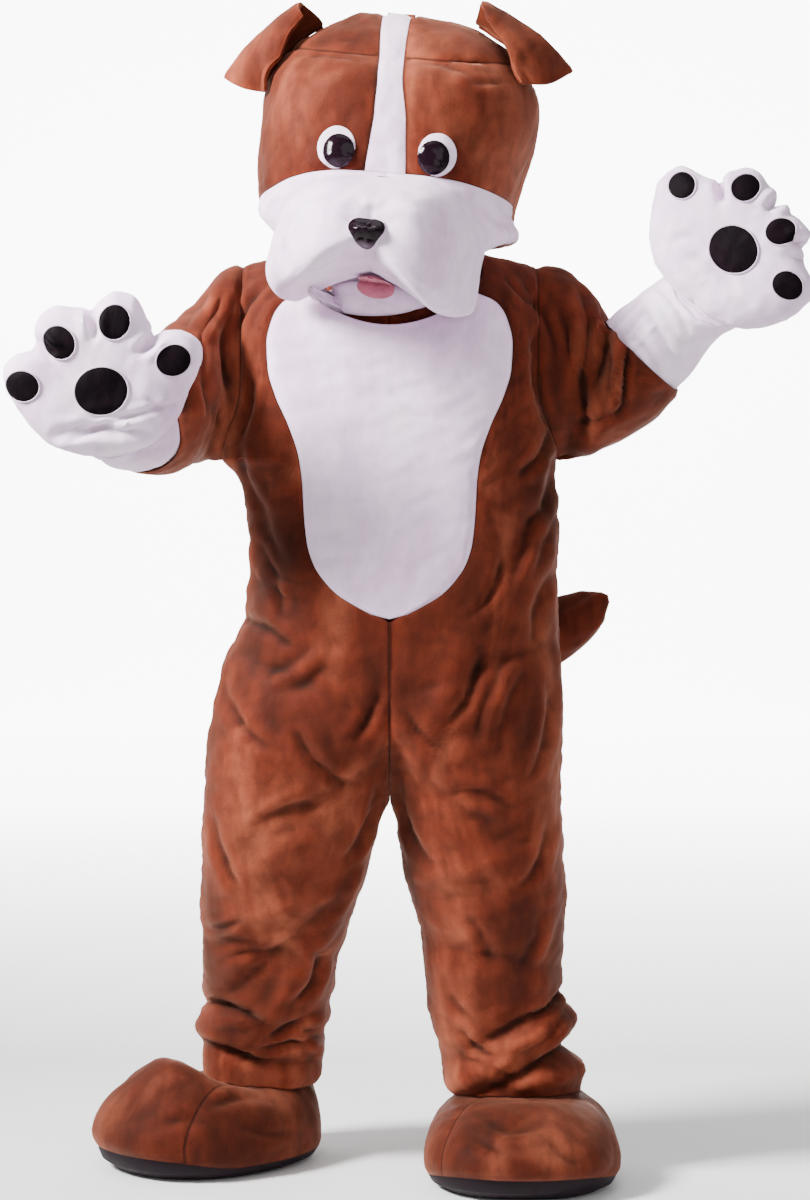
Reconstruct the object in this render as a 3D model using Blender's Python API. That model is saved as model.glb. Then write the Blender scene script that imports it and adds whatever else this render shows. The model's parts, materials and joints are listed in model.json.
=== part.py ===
"""Dog mascot costume, worn: plush head, one-piece suit, two paw mitts and two shoe covers.

Every cut piece is a wall of cloth of its own, 0.3 mm from its neighbours at the seams.
Metres, +Z up, front faces -Y. The origin is on the shoulder line at the base of the neck.
"left" and "right" in a name are the wearer's: left is +X.
"""

import math

import bmesh
import bpy
import numpy as np
from mathutils import Vector
from mathutils.bvhtree import BVHTree

# Driving dimensions.
FLOOR_Z = -1.49
PLUSH = 0.0022
MITT_CLOTH = 0.0025
HEAD_FOAM = 0.007
SHOE_WALL = 0.005
SEAM_GAP = 0.0003
SQUARENESS = 2.3

ARMPIT_Z = -0.350
SHOULDER_Z = -0.045
ARMHOLE_X = 0.233
ARMPIT_X = 0.264
NECK_X = 0.142
NECK_Z = -0.020
SHOULDER_SLOPE = (NECK_Z - SHOULDER_Z) / (ARMHOLE_X - NECK_X)
CHEST_TOP_Z = -0.200
NECK_DOME = 0.040
BACK_NECK_Z = -0.0350
BIB_TOP = 0.85
BIB_TOP_Z = -0.090
BIB_DIP = 0.053
BIB_BOTTOM_Z = -0.590
BIB_POINT = 0.007
HIP_Z = -0.620
CROTCH_Z = -0.876
CROTCH_SPREAD = 0.040

BIB_COLUMNS = 3
PANEL_COLUMNS = 6
SLEEVE_ROWS = 8

LEFT, RIGHT = 1, -1
SIDES = {"left": LEFT, "right": RIGHT}

# Half width of the suit at its side seam, and of the gap between the legs.
SUIT_WIDTHS = {
    "z": [-1.372, -1.30, -1.20, -1.10, -1.035, -0.972, -0.876, -0.80, -0.717, -0.653, -0.60, -0.526, -0.43,
          -0.366, -0.35],
    "left": [0.314, 0.292, 0.274, 0.275, 0.277, 0.272, 0.268, 0.270, 0.272, 0.269, 0.266, 0.264, 0.263,
             0.264, 0.264],
    "right": [0.306, 0.306, 0.303, 0.302, 0.299, 0.296, 0.292, 0.287, 0.272, 0.256, 0.228, 0.219, 0.226,
              0.245, 0.264],
}
LEG_GAPS = {
    "z": [-1.372, -1.33, -1.26, -1.20, -1.10, -1.035, -0.972, -0.93, -0.876],
    "left": [0.105, 0.090, 0.072, 0.062, 0.050, 0.033, 0.020, 0.012, 0.0],
    "right": [0.127, 0.113, 0.106, 0.096, 0.068, 0.050, 0.031, 0.018, 0.0],
}
SUIT_DEPTHS = {
    "z": [-1.372, -1.30, -1.20, -1.10, -0.98, -0.876, -0.80, -0.70, -0.60, -0.45, -0.35, -0.20, 0.03],
    "front": [0.098, 0.102, 0.110, 0.120, 0.132, 0.146, 0.158, 0.168, 0.166, 0.156, 0.160, 0.160, 0.150],
    "back": [0.092, 0.098, 0.110, 0.120, 0.136, 0.156, 0.172, 0.176, 0.160, 0.140, 0.145, 0.150, 0.140],
}
HEM_GAP = 0.0012
HEM_REACH = 0.016
HEM_SEARCH = 0.05
ANKLE_Y = {"left": 0.070, "right": 0.165}
BIB_WIDTHS = {
    "z": [-0.590, -0.580, -0.560, -0.540, -0.515, -0.480, -0.430, -0.390, -0.350, -0.300, -0.250, -0.210,
          -0.170, -0.130, -0.105, -0.090],
    "half": [0.028, 0.047, 0.080, 0.100, 0.117, 0.128, 0.133, 0.135, 0.140, 0.156, 0.178, 0.189, 0.191,
             0.182, 0.165, 0.131],
}
# How far up the armhole each upper row starts, from the armpit to the shoulder seam.
ARMHOLE_STEPS = [0, 0.1, 0.22, 0.34, 0.46, 0.58, 0.69, 0.78, 0.85, 0.92, 1]
BIB_ROWS = [-0.390, -0.440, -0.485, -0.520, -0.548, -0.571, -0.590]
HIP_ROWS = [-0.602, -0.650, -0.705, -0.760, -0.810, -0.847, -0.868, -0.876]
LEG_ROWS = [-0.895, -0.940, -1.000, -1.055, -1.100, -1.135, -1.165, -1.187, -1.207, -1.226,
            -1.244, -1.262, -1.280, -1.298, -1.316, -1.334, -1.352]

# Sections of the sleeves: centre, half height (u) from underside to top, half depth (v) to the front.
SLEEVE_SECTIONS = {
    "left": [
        # x, y, z, ux, uy, uz, vx, vy, vz
        (0.281, -0.004, -0.196, -0.009, 0, 0.144, 0.000, -0.086, 0),
        (0.315, -0.012, -0.205, -0.010, 0, 0.130, -0.006, -0.090, 0),
        (0.347, -0.026, -0.209, -0.019, 0, 0.109, -0.014, -0.090, 0),
        (0.374, -0.042, -0.203, -0.036, 0, 0.085, -0.018, -0.086, 0),
        (0.386, -0.052, -0.195, -0.048, 0, 0.068, -0.018, -0.080, 0),
        (0.397, -0.060, -0.186, -0.056, 0, 0.056, -0.018, -0.076, 0),
    ],
    "right": [
        (-0.272, -0.012, -0.200, 0.004, 0, 0.142, 0.015, -0.086, 0),
        (-0.302, -0.042, -0.224, 0.006, -0.004, 0.128, 0.040, -0.078, 0),
        (-0.330, -0.086, -0.250, 0.004, -0.016, 0.112, 0.060, -0.064, 0),
        (-0.352, -0.130, -0.272, 0.000, -0.026, 0.100, 0.073, -0.048, 0),
        (-0.368, -0.165, -0.285, -0.002, -0.029, 0.088, 0.075, -0.042, 0),
        (-0.381, -0.195, -0.293, -0.004, -0.029, 0.078, 0.073, -0.040, 0),
    ],
}

# Folds: a line in the front projection, its width, how far it stands out or in, and where it lies.
FRONT, BACK, ROUND = -1, 1, 0
FOLDS = [
    # x0, z0, x1, z1, width, depth, face
    (0.338, -0.147, 0.292, -0.298, 0.016, -0.022, FRONT),
    (0.271, -0.137, 0.290, -0.207, 0.012, -0.009, FRONT),
    (0.360, -0.190, 0.330, -0.300, 0.014, 0.010, FRONT),
    (0.262, -0.110, 0.258, -0.250, 0.010, -0.008, BACK),
    (-0.252, -0.072, -0.295, -0.175, 0.014, 0.010, FRONT),
    (-0.264, -0.178, -0.247, -0.252, 0.012, -0.012, FRONT),
    (-0.310, -0.150, -0.300, -0.300, 0.016, -0.012, FRONT),
    (-0.300, -0.130, -0.280, -0.290, 0.014, -0.010, BACK),
    (0.250, -0.400, 0.170, -0.520, 0.016, -0.008, FRONT),
    (0.260, -0.470, 0.180, -0.590, 0.016, 0.008, FRONT),
    (-0.215, -0.400, -0.160, -0.560, 0.016, -0.008, FRONT),
    (-0.220, -0.560, -0.090, -0.650, 0.018, 0.009, FRONT),
    (-0.250, -0.640, -0.060, -0.730, 0.020, -0.010, FRONT),
    (0.240, -0.640, 0.060, -0.700, 0.020, -0.008, FRONT),
    (0.120, -0.620, 0.050, -0.800, 0.018, 0.009, FRONT),
    (-0.030, -0.830, -0.200, -0.940, 0.020, -0.012, FRONT),
    (0.035, -0.840, 0.180, -0.930, 0.020, -0.010, FRONT),
    (0.060, -1.000, 0.230, -0.960, 0.020, 0.008, FRONT),
    (-0.070, -1.020, -0.250, -1.080, 0.020, 0.009, FRONT),
    (0.060, -1.110, 0.250, -1.150, 0.018, -0.009, FRONT),
    (-0.100, -1.150, -0.300, -1.105, 0.018, -0.009, FRONT),
    (0.130, -1.330, 0.300, -1.235, 0.017, 0.014, FRONT),
    (0.255, -1.250, 0.300, -1.238, 0.017, 0.013, ROUND),
    (0.150, -1.350, 0.290, -1.282, 0.011, -0.013, FRONT),
    (0.245, -1.292, 0.300, -1.286, 0.012, -0.013, ROUND),
    (0.120, -1.290, 0.260, -1.200, 0.013, -0.010, FRONT),
    (0.235, -1.330, 0.320, -1.328, 0.014, 0.015, ROUND),
    (-0.310, -1.275, -0.255, -1.275, 0.019, 0.012, ROUND),
    (-0.310, -1.234, -0.255, -1.230, 0.011, -0.012, ROUND),
    (-0.300, -1.252, -0.175, -1.222, 0.016, 0.012, FRONT),
    (-0.190, -1.232, -0.095, -1.075, 0.016, 0.014, FRONT),
    (-0.255, -1.205, -0.130, -1.080, 0.014, -0.009, FRONT),
    (-0.300, -1.302, -0.165, -1.322, 0.011, -0.011, FRONT),
    (-0.130, -1.250, -0.095, -1.262, 0.012, 0.007, ROUND),
    (0.070, -1.230, 0.260, -1.260, 0.016, 0.012, BACK),
    (0.080, -1.285, 0.280, -1.300, 0.013, -0.010, BACK),
    (-0.090, -1.205, -0.290, -1.225, 0.016, 0.011, BACK),
    (-0.110, -1.280, -0.300, -1.262, 0.013, -0.010, BACK),
    (-0.150, -0.420, 0.120, -0.480, 0.022, -0.010, BACK),
    (0.200, -0.560, -0.100, -0.610, 0.022, -0.010, BACK),
    (-0.220, -0.800, -0.050, -0.900, 0.020, -0.012, BACK),
    (0.220, -0.790, 0.050, -0.900, 0.020, -0.012, BACK),
    (0.080, -1.010, 0.240, -1.040, 0.020, 0.010, BACK),
    (-0.080, -1.000, -0.260, -1.050, 0.020, 0.010, BACK),
]

# Head, in its own upright frame: rows from the neck to the top of the crown.
HEAD_LEVELS = {
    "front_z": [-0.150, -0.120, -0.086, -0.045, 0.000, 0.045, 0.085, 0.137, 0.187, 0.232, 0.268, 0.316,
                0.345, 0.354],
    "side_z": [-0.055, -0.016, 0.006, 0.014, 0.021, 0.028, 0.038, 0.090, 0.155, 0.222, 0.282, 0.322, 0.345,
               0.354],
    "back_z": [-0.060, -0.020, 0.010, 0.026, 0.044, 0.066, 0.092, 0.138, 0.184, 0.234, 0.285, 0.322, 0.345,
               0.354],
    "half": [0.110, 0.115, 0.152, 0.190, 0.206, 0.211, 0.2135, 0.2195, 0.2215, 0.216, 0.186, 0.136, 0.078,
             0.0],
    "front": [0.134, 0.144, 0.158, 0.176, 0.191, 0.200, 0.203, 0.203, 0.199, 0.188, 0.156, 0.113, 0.064, 0.0],
    "back": [0.078, 0.083, 0.112, 0.146, 0.174, 0.190, 0.199, 0.205, 0.207, 0.200, 0.171, 0.126, 0.074, 0.0],
    "left_lift": [0.0, 0.0, 0.0, 0.004, 0.012, 0.022, 0.030, 0.022, 0.010, 0.003, 0.0, 0.0, 0.0, 0.0],
    "left_share": [1.0, 1.0, 1.0, 1.0, 0.90, 0.86, 0.86, 0.88, 0.93, 0.965, 0.97, 0.98, 1.0, 1.0],
    "blaze": [0.031, 0.031, 0.031, 0.031, 0.031, 0.031, 0.031, 0.027, 0.023, 0.019, 0.019, 0.021, 0.022,
              0.022],
}
JAW_LEVEL, WHITE_LEVEL, CROWN_LEVEL, TOP_LEVEL = 1, 6, 10, 13
HEAD_ROWS = {"jaw": [0, 1], "cheek": [1, 2, 3, 4, 5, 6], "face": [6, 6.5, 7, 7.6, 8.3, 9, 9.5, 10],
             "crown": [10, 10.5, 11, 11.7, 12.4, 13]}
HEAD_SQUARENESS = 2.6
HEAD_FRONT_COLUMNS = 8
HEAD_BACK_COLUMNS = 5
HEAD_PIVOT = np.array([0.0, 0.0, -0.080])
HEAD_ROLL = math.radians(5.0)
HEAD_YAW = math.radians(6.0)
STRIPE_END_GAP = 0.0008
# The white stripe leans aside between two heights, and the panels beside it and above it give way.
STRIPE_LEAN = {"aside": 0.020, "from_z": 0.170, "to_z": 0.350, "half_wide": 0.110, "back_y": 0.100,
               "fade": 0.100}
HEAD_BUMPS = [
    # x, z, width, height: fullness of the cheeks and brow
    (0.180, -0.015, 0.045, 0.014),
    (-0.180, -0.015, 0.045, 0.014),
]

# Face pieces, in the head's frame: x, z.
MUZZLE_OUTLINE = {
    "x": [0.0, 0.050, 0.092, 0.126, 0.149, 0.162, 0.165, 0.160, 0.147, 0.126, 0.096, 0.052, 0.0],
    "z": [0.070, 0.067, 0.057, 0.036, 0.006, -0.028, -0.062, -0.092, -0.110, -0.114, -0.102, -0.083, -0.068],
}
# The muzzle's loose lower edge hangs to one side, and its left jowl hangs lower.
MUZZLE_SAG = {"aside": 0.010, "left_aside": 0.008, "left_drop": 0.017}
MUZZLE_MIDDLE = (-0.006, -0.014)
MUZZLE_DEPTH = 0.128
MUZZLE_RIM = 0.010
MUZZLE_GAP = 0.0025
MUZZLE_BACK_Y = -0.176
EYE = {"x": 0.0775, "z": 0.118, "half_wide": 0.0300, "half_tall": 0.0325, "rise": 0.0035}
PUPIL = {"x": 0.0720, "z": 0.1120, "half_wide": 0.0245, "half_tall": 0.0255, "rise": 0.0075}
NOSE = {"x": -0.004, "z": -0.018, "half_wide": 0.026, "half_tall": 0.022, "rise": 0.020}
CHIN = {"x": -0.019, "z": -0.109, "half_wide": 0.075, "half_tall": 0.0235, "rise": 0.018}
TONGUE = {"x": -0.008, "z": -0.096, "half_wide": 0.028, "half_tall": 0.014, "rise": 0.007}
LAID_GAP = 0.0006
LARGEST_LIFT = 0.006

# Ears: sections from the root over the fold to the free edge; each has its inner end and its outer end.
EAR_SECTIONS = {
    "left": [
        # inner x, y, z, outer x, y, z
        (0.096, -0.015, 0.322, 0.160, -0.015, 0.262),
        (0.104, -0.030, 0.354, 0.218, -0.030, 0.282),
        (0.112, -0.056, 0.381, 0.265, -0.056, 0.282),
        (0.116, -0.086, 0.369, 0.230, -0.096, 0.254),
        (0.124, -0.098, 0.346, 0.182, -0.112, 0.246),
    ],
    "right": [
        (-0.126, -0.015, 0.308, -0.196, -0.015, 0.226),
        (-0.148, -0.030, 0.341, -0.248, -0.030, 0.236),
        (-0.173, -0.056, 0.358, -0.288, -0.056, 0.232),
        (-0.172, -0.088, 0.346, -0.246, -0.092, 0.211),
        (-0.162, -0.100, 0.330, -0.202, -0.104, 0.205),
    ],
}
EAR_CLOTH = 0.003
EAR_LINING = 0.0024
EAR_ROOT_GAP = 0.0018
EAR_CLEAR = 0.013
EAR_ROWS, EAR_COLUMNS = 7, 4

# Mitts: each paw's outline about the middle of the palm. Angles run from its axis towards the thumb.
PAW_OUTLINES = {
    "right": {
        "angle": [-180, -149, -120, -101, -84, -68, -58, -51, -44, -36, -23, -10, 0, 9, 18, 28, 36, 44,
                  50, 56, 64, 75, 90, 102, 125, 151, 180],
        "radius": [0.098, 0.104, 0.114, 0.124, 0.138, 0.150, 0.138, 0.114, 0.122, 0.136, 0.143, 0.130,
                   0.120, 0.132, 0.147, 0.146, 0.134, 0.119, 0.112, 0.126, 0.148, 0.160, 0.142, 0.126,
                   0.117, 0.106, 0.098],
    },
    "left": {
        "angle": [-180, -160, -137, -108, -92, -78, -66, -56, -44, -31, -20, -10, 4, 18, 27, 36, 46, 58,
                  66, 76, 86, 96, 108, 119, 137, 158, 180],
        "radius": [0.098, 0.106, 0.113, 0.122, 0.129, 0.131, 0.114, 0.096, 0.104, 0.111, 0.106, 0.098,
                   0.102, 0.114, 0.130, 0.136, 0.130, 0.118, 0.134, 0.170, 0.172, 0.162, 0.150, 0.143,
                   0.128, 0.110, 0.098],
    },
}
MITT_POINTS = 30
MITTS = {
    # middle of the palm, its middle axis and the way it faces; the thumb's side; the wrist hole and its radius
    "right": {"palm": (-0.424, -0.325, -0.249), "up": (-0.17, -0.10, 0.98), "faces": (0.03, -0.99, -0.10),
              "turn": 1, "hole": (-0.052, -0.046), "hole_tilt": 0.45, "wrist": 0.0600},
    "left": {"palm": (0.536, -0.175, -0.037), "up": (0.69, 0.06, 0.72), "faces": (-0.28, -0.95, 0.10),
             "turn": -1, "hole": (-0.066, -0.040), "hole_tilt": 0.95, "wrist": 0.067},
}
PALM_RISE, BACK_RISE = 0.042, 0.050
WRIST_SEARCH = 0.116
GAUNTLETS = {
    # centres of the rings from the hole to the end inside the sleeve, and their radii
    "right": {"x": [-0.404, -0.392, -0.380], "y": [-0.238, -0.212, -0.172], "z": [-0.303, -0.300, -0.290],
              "radius": [0.062, 0.070, 0.076]},
    "left": {"x": [0.456, 0.427, 0.380], "y": [-0.098, -0.076, -0.0550], "z": [-0.124, -0.156, -0.2035],
             "radius": [0.065, 0.072, 0.0760]},
}
CUFF_PLAY = {"left": 0.0021, "right": 0.0008}
PALM_PAD = {"wide": 0.040, "tall": 0.036}
TOE_PADS = {
    # one column for each pad: its angle and how far out it is; then their half width and height
    "right": {"angle": [77, 21, -31, -77], "out": [0.115, 0.103, 0.094, 0.117], "half": (0.0235, 0.0262)},
    "left": {"angle": [80, 32, -28, -83], "out": [0.133, 0.098, 0.076, 0.099], "half": (0.0215, 0.0235)},
}
PAD_RISE = 0.004

# Shoe covers, placed from the trouser hems: turn from straight ahead towards -X, the first seam, the step
# aside from the hem and how far the toe stands up.
SHOES = {
    "left": {"heading": 2, "seam": -48, "aside": 0.010, "toe_rise": 0.018},
    "right": {"heading": 52, "seam": 48, "aside": -0.006, "toe_rise": 0.066},
}
SHOE_HALF_LENGTH, SHOE_HALF_WIDTH = 0.188, 0.149
SOLE_INSET = 0.985
SHOE_TOP = 0.126
ANKLE_COLLAR = 0.030
ANKLE_BACK, ANKLE_RADIUS = 0.092, 0.073
TOE_SPRING, SIDE_SPRING = 0.038, 0.020
SOLE_THICKNESS = 0.012
SHOE_POINTS = 22

TAIL_PATH = {
    "x": [0.030, 0.058, 0.140, 0.245, 0.325, 0.360],
    "y": [0.176, 0.240, 0.272, 0.275, 0.262, 0.255],
    "z": [-0.690, -0.690, -0.680, -0.648, -0.602, -0.576],
    "radius": [0.056, 0.060, 0.062, 0.058, 0.038, 0.012],
}
TAIL_POINTS = 12
TAIL_GAP = 0.0016
PLACKET_ROWS = 17
PLACKET_HALF_WIDTH, PLACKET_TOP_Z, PLACKET_BOTTOM_Z, PLACKET_CLOTH = 0.020, -0.075, -0.640, 0.0015


def eased(t):
    t = np.clip(t, 0.0, 1.0)
    return t * t * (3 - 2 * t)


def curve(keys, values, at):
    """A smooth curve through a table's points that never overshoots them."""
    keys, values = np.asarray(keys, float), np.asarray(values, float)
    steps = np.diff(keys)
    slopes = np.diff(values) / steps
    tangents = np.zeros(len(keys))
    same_way = slopes[:-1] * slopes[1:] > 0
    before, after = slopes[:-1][same_way], slopes[1:][same_way]
    w_before = (2 * steps[1:] + steps[:-1])[same_way]
    w_after = (steps[1:] + 2 * steps[:-1])[same_way]
    tangents[1:-1][same_way] = (w_before + w_after) / (w_before / before + w_after / after)
    tangents[0], tangents[-1] = slopes[0], slopes[-1]
    at = np.clip(np.asarray(at, float), keys[0], keys[-1])
    span = np.clip(np.searchsorted(keys, at, side="right") - 1, 0, len(keys) - 2)
    step = steps[span]
    t = (at - keys[span]) / step
    return ((1 + 2 * t) * (1 - t) ** 2 * values[span] + t * (1 - t) ** 2 * step * tangents[span]
            + t * t * (3 - 2 * t) * values[span + 1] + t * t * (t - 1) * step * tangents[span + 1])


def read(table, column, at):
    return curve(table["z"], table[column], at)


def power(value, exponent):
    return np.sign(value) * np.abs(value) ** exponent


# ---------------------------------------------------------------- cloth walls

def vertex_normals(grids, rings=()):
    """Outward normals of panels that share their seam points, so that their walls meet along the seams."""
    points = np.concatenate([grid.reshape(-1, 3) for grid in grids])
    _, shared = np.unique(np.round(points, 5), axis=0, return_inverse=True)
    shared = shared.reshape(-1)
    total = np.zeros((shared.max() + 1, 3))
    start = 0
    for number, grid in enumerate(grids):
        rows, columns = grid.shape[:2]
        index = start + np.arange(rows * columns).reshape(rows, columns)
        start += rows * columns
        if number in rings:
            index = np.concatenate([index, index[:, :1]], axis=1)
        a, b, c, d = index[:-1, :-1], index[:-1, 1:], index[1:, 1:], index[1:, :-1]
        normal = np.cross(points[c] - points[a], points[d] - points[b])
        for corner in (a, b, c, d):
            np.add.at(total, shared[corner], normal)
    normals = total[shared]
    length = np.linalg.norm(normals, axis=1, keepdims=True)
    normals = normals / np.maximum(length, 1e-12)
    found, start = [], 0
    for grid in grids:
        count = grid.shape[0] * grid.shape[1]
        found.append(normals[start:start + count].reshape(grid.shape))
        start += count
    return found


def fold_depth(points, normals, folds):
    """How far the folds move each point along its normal."""
    depth = np.zeros(points.shape[:-1])
    for x0, z0, x1, z1, width, height, face in folds:
        along = np.array([x1 - x0, z1 - z0])
        length = np.hypot(*along)
        along = along / length
        dx, dz = points[..., 0] - x0, points[..., 2] - z0
        run = (dx * along[0] + dz * along[1]) / length
        off = dx * along[1] - dz * along[0]
        side = 1.0 if face == ROUND else eased(0.5 + 1.2 * normals[..., 1] * face)
        beyond = np.where(run < 0, -run, np.maximum(run - 1, 0)) * length
        taper = np.exp(-(beyond / (0.35 * length)) ** 2) if face != ROUND else eased(1.5 - beyond / 0.05)
        ends = np.sin(np.clip(run, 0.12, 0.88) * math.pi) ** 0.5 if face != ROUND else 1.0
        depth += height * np.exp(-(off / width) ** 2) * taper * ends * side
    return depth


def drawn_in(layer, by, skip=()):
    """The grid with each border moved in along the cloth."""
    layer = layer.copy()
    every = slice(None)
    moves = {"start_row": ((0, every), (1, every)), "end_row": ((-1, every), (-2, every)),
             "start_column": ((every, 0), (every, 1)), "end_column": ((every, -1), (every, -2))}
    for name, (edge, inner) in moves.items():
        if name in skip:
            continue
        step = layer[inner] - layer[edge]
        length = np.linalg.norm(step, axis=-1, keepdims=True)
        layer[edge] += np.where(length > 2 * by, step / np.maximum(length, 1e-9), 0) * by
    return layer


def solid(name, points, faces, material):
    """One closed mesh object, its doubled points made one and its faces turned out."""
    mesh = bpy.data.meshes.new(name)
    body = bmesh.new()
    corners = [body.verts.new(point) for point in points]
    body.verts.index_update()
    for face in faces:
        if len(set(face)) == len(face):
            try:
                body.faces.new([corners[i] for i in face])
            except ValueError:
                continue
    bmesh.ops.remove_doubles(body, verts=body.verts, dist=2e-6)
    bmesh.ops.dissolve_degenerate(body, edges=body.edges, dist=1e-7)
    loose = [vert for vert in body.verts if not vert.link_faces]
    bmesh.ops.delete(body, geom=loose, context="VERTS")
    bmesh.ops.triangulate(body, faces=[face for face in body.faces if len(face.verts) > 3])
    bmesh.ops.recalc_face_normals(body, faces=body.faces)
    if body.calc_volume(signed=True) < 0:
        bmesh.ops.reverse_faces(body, faces=body.faces)
    body.to_mesh(mesh)
    body.free()
    mesh.shade_smooth()
    mesh.set_sharp_from_angle(angle=math.radians(50))
    mesh.materials.append(material)
    made = bpy.data.objects.new(name, mesh)
    bpy.context.scene.collection.objects.link(made)
    return made


def wall(name, outer, inner, material, ring=False):
    """A sheet of cloth from its outer and inner grids of points."""
    rows, columns = outer.shape[:2]
    points = np.concatenate([outer.reshape(-1, 3), inner.reshape(-1, 3)])
    layer = rows * columns
    last = columns if ring else columns - 1
    faces = []
    for i in range(rows - 1):
        for j in range(last):
            a, b = i * columns + j, i * columns + (j + 1) % columns
            d, c = a + columns, b + columns
            if np.linalg.norm(points[a] - points[c]) <= np.linalg.norm(points[b] - points[d]):
                pair = ((a, b, c), (a, c, d))
            else:
                pair = ((a, b, d), (b, c, d))
            for triangle in pair:
                faces.append(triangle)
                faces.append(tuple(corner + layer for corner in reversed(triangle)))
    border = []
    for j in range(last):
        border.append((j, (j + 1) % columns))
        border.append(((rows - 1) * columns + (j + 1) % columns, (rows - 1) * columns + j))
    if not ring:
        for i in range(rows - 1):
            border.append(((i + 1) * columns, i * columns))
            border.append((i * columns + columns - 1, (i + 1) * columns + columns - 1))
    # Both sides of a seam split their edge strips the same way, so that the gap stays even.
    lean = points @ np.array([1.0, 2.3, 5.1])
    for a, b in border:
        if lean[a] < lean[b]:
            faces += [(b, a, b + layer), (a, a + layer, b + layer)]
        else:
            faces += [(b, a, a + layer), (b, a + layer, b + layer)]
    return solid(name, points, faces, material)


def side_of(name):
    """The side that a piece keeps to, or None for one that crosses the mid plane or never nears it."""
    if name in ("bib", "blaze") or name.startswith("sleeve"):
        return None
    return LEFT if name.endswith("left") else RIGHT


def sewn(panels, thickness, folds=(), rings=(), keep_side=None, domes=()):
    """Inner and outer grids of panels that share seams. panels maps a name to its grid on the bare surface.

    rings are the panels that close on themselves, and domes those whose first row is one point."""
    names = list(panels)
    grids = [panels[name] for name in names]
    numbers = [names.index(name) for name in rings]
    normals = vertex_normals(grids, numbers)
    if folds:
        grids = [grid + normal * fold_depth(grid, normal, folds)[..., None]
                 for grid, normal in zip(grids, normals)]
        normals = vertex_normals(grids, numbers)
    made = {}
    for name, grid, normal in zip(names, grids, normals):
        skip = ("start_column", "end_column") if name in rings else ()
        skip += ("start_row",) if name in domes else ()
        outer = drawn_in(grid, SEAM_GAP / 2, skip)
        inner = drawn_in(grid - normal * thickness, SEAM_GAP / 2, skip)
        if keep_side and keep_side(name):
            side = keep_side(name)
            for layer in (outer, inner):
                layer[..., 0] = side * np.maximum(side * layer[..., 0], SEAM_GAP / 2)
        made[name] = (outer, inner)
    return made


# ---------------------------------------------------------------- suit

def half_width(side_name, z):
    return np.where(z > ARMPIT_Z, ARMPIT_X, read(SUIT_WIDTHS, side_name, z))


def ring_centre(side_name, z):
    """Where the half ring of one side has its centre: the mid plane in the body, the leg's middle below."""
    outer = half_width(side_name, z)
    down = np.clip((HIP_Z - z) / (HIP_Z - CROTCH_Z), 0, 1)
    in_body = 0.5 * outer * (3 * down ** 2 - 2 * down ** 3) + CROTCH_SPREAD * (down ** 3 - down ** 2)
    in_leg = 0.5 * (outer + read(LEG_GAPS, side_name, z))
    return np.where(z > CROTCH_Z, in_body, in_leg)


def shoulder_height(x):
    inside = 1 - np.minimum(np.abs(x) / NECK_X, 1) ** 2
    return NECK_Z + NECK_DOME * inside - SHOULDER_SLOPE * np.maximum(np.abs(x) - NECK_X, 0)


def suit_point(side_name, face, angle, z, x=None):
    """A point of the suit. The angle is 0 at the side seam and 90 degrees at the middle of the body."""
    side = SIDES[side_name]
    centre = ring_centre(side_name, z)
    reach = half_width(side_name, z) - centre
    if x is None:
        x = centre + reach * power(np.cos(angle), 2 / SQUARENESS)
        rise = np.abs(np.sin(angle)) ** (2 / SQUARENESS)
    else:
        rise = (1 - np.minimum(np.abs((x - centre) / reach), 1) ** SQUARENESS) ** (1 / SQUARENESS)
    chest = np.clip((z - CHEST_TOP_Z) / (shoulder_height(x) - CHEST_TOP_Z), 0, 1)
    rise = rise * (1 - chest ** 2.2) ** (1 / 2.2)
    depth = read(SUIT_DEPTHS, "front" if face == FRONT else "back", z)
    back_by = ANKLE_Y[side_name] * eased((CROTCH_Z - z) / 0.5)
    return np.stack([side * x, back_by + face * depth * rise, z + 0 * x], axis=-1)


def middle_angle(side_name, z, x):
    """The angle at which the ring stands at this distance from the mid plane."""
    centre = ring_centre(side_name, z)
    reach = half_width(side_name, z) - centre
    fraction = np.clip((x - centre) / reach, -1, 1)
    return np.arccos(power(fraction, SQUARENESS / 2))


def armhole_x(z):
    return ARMPIT_X - (ARMPIT_X - ARMHOLE_X) * eased((z - ARMPIT_Z) / 0.11)


def armhole_z(step):
    middle, half = (SHOULDER_Z + ARMPIT_Z) / 2, (SHOULDER_Z - ARMPIT_Z) / 2
    return middle + half * math.sin(math.pi * (step - 0.5))


def suit_row(side_name, face, z_out, x_out, z_in, x_in, columns):
    """One row of a panel, from its outer end to its inner end."""
    start = middle_angle(side_name, z_out, x_out)
    end = middle_angle(side_name, z_in, x_in)
    angles = np.linspace(start, end, columns + 1)
    share = np.linspace(0, 1, columns + 1)
    for _ in range(3):
        z = z_out + (z_in - z_out) * share
        centre = ring_centre(side_name, z)
        x = centre + (half_width(side_name, z) - centre) * power(np.cos(angles), 2 / SQUARENESS)
        share = (x - x_out) / (x_in - x_out)
    x[0], x[-1] = x_out, x_in
    z = z_out + (z_in - z_out) * np.clip(share, 0, 1)
    z[0], z[-1] = z_out, z_in
    if z_out < ARMPIT_Z:
        return suit_point(side_name, face, angles, z)
    return suit_point(side_name, face, None, z, x)


def bib_height(edge_z, share):
    """How a row of the bib bends down to the neckline's scoop at its top and to the point at its bottom."""
    scoop = BIB_DIP * eased((edge_z + 0.27) / 0.18) * (1 - share ** 2)
    point = BIB_POINT * (1 - share) * np.where(edge_z <= BIB_BOTTOM_Z, 1.0, 0.0)
    return edge_z - scoop - point


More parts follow.
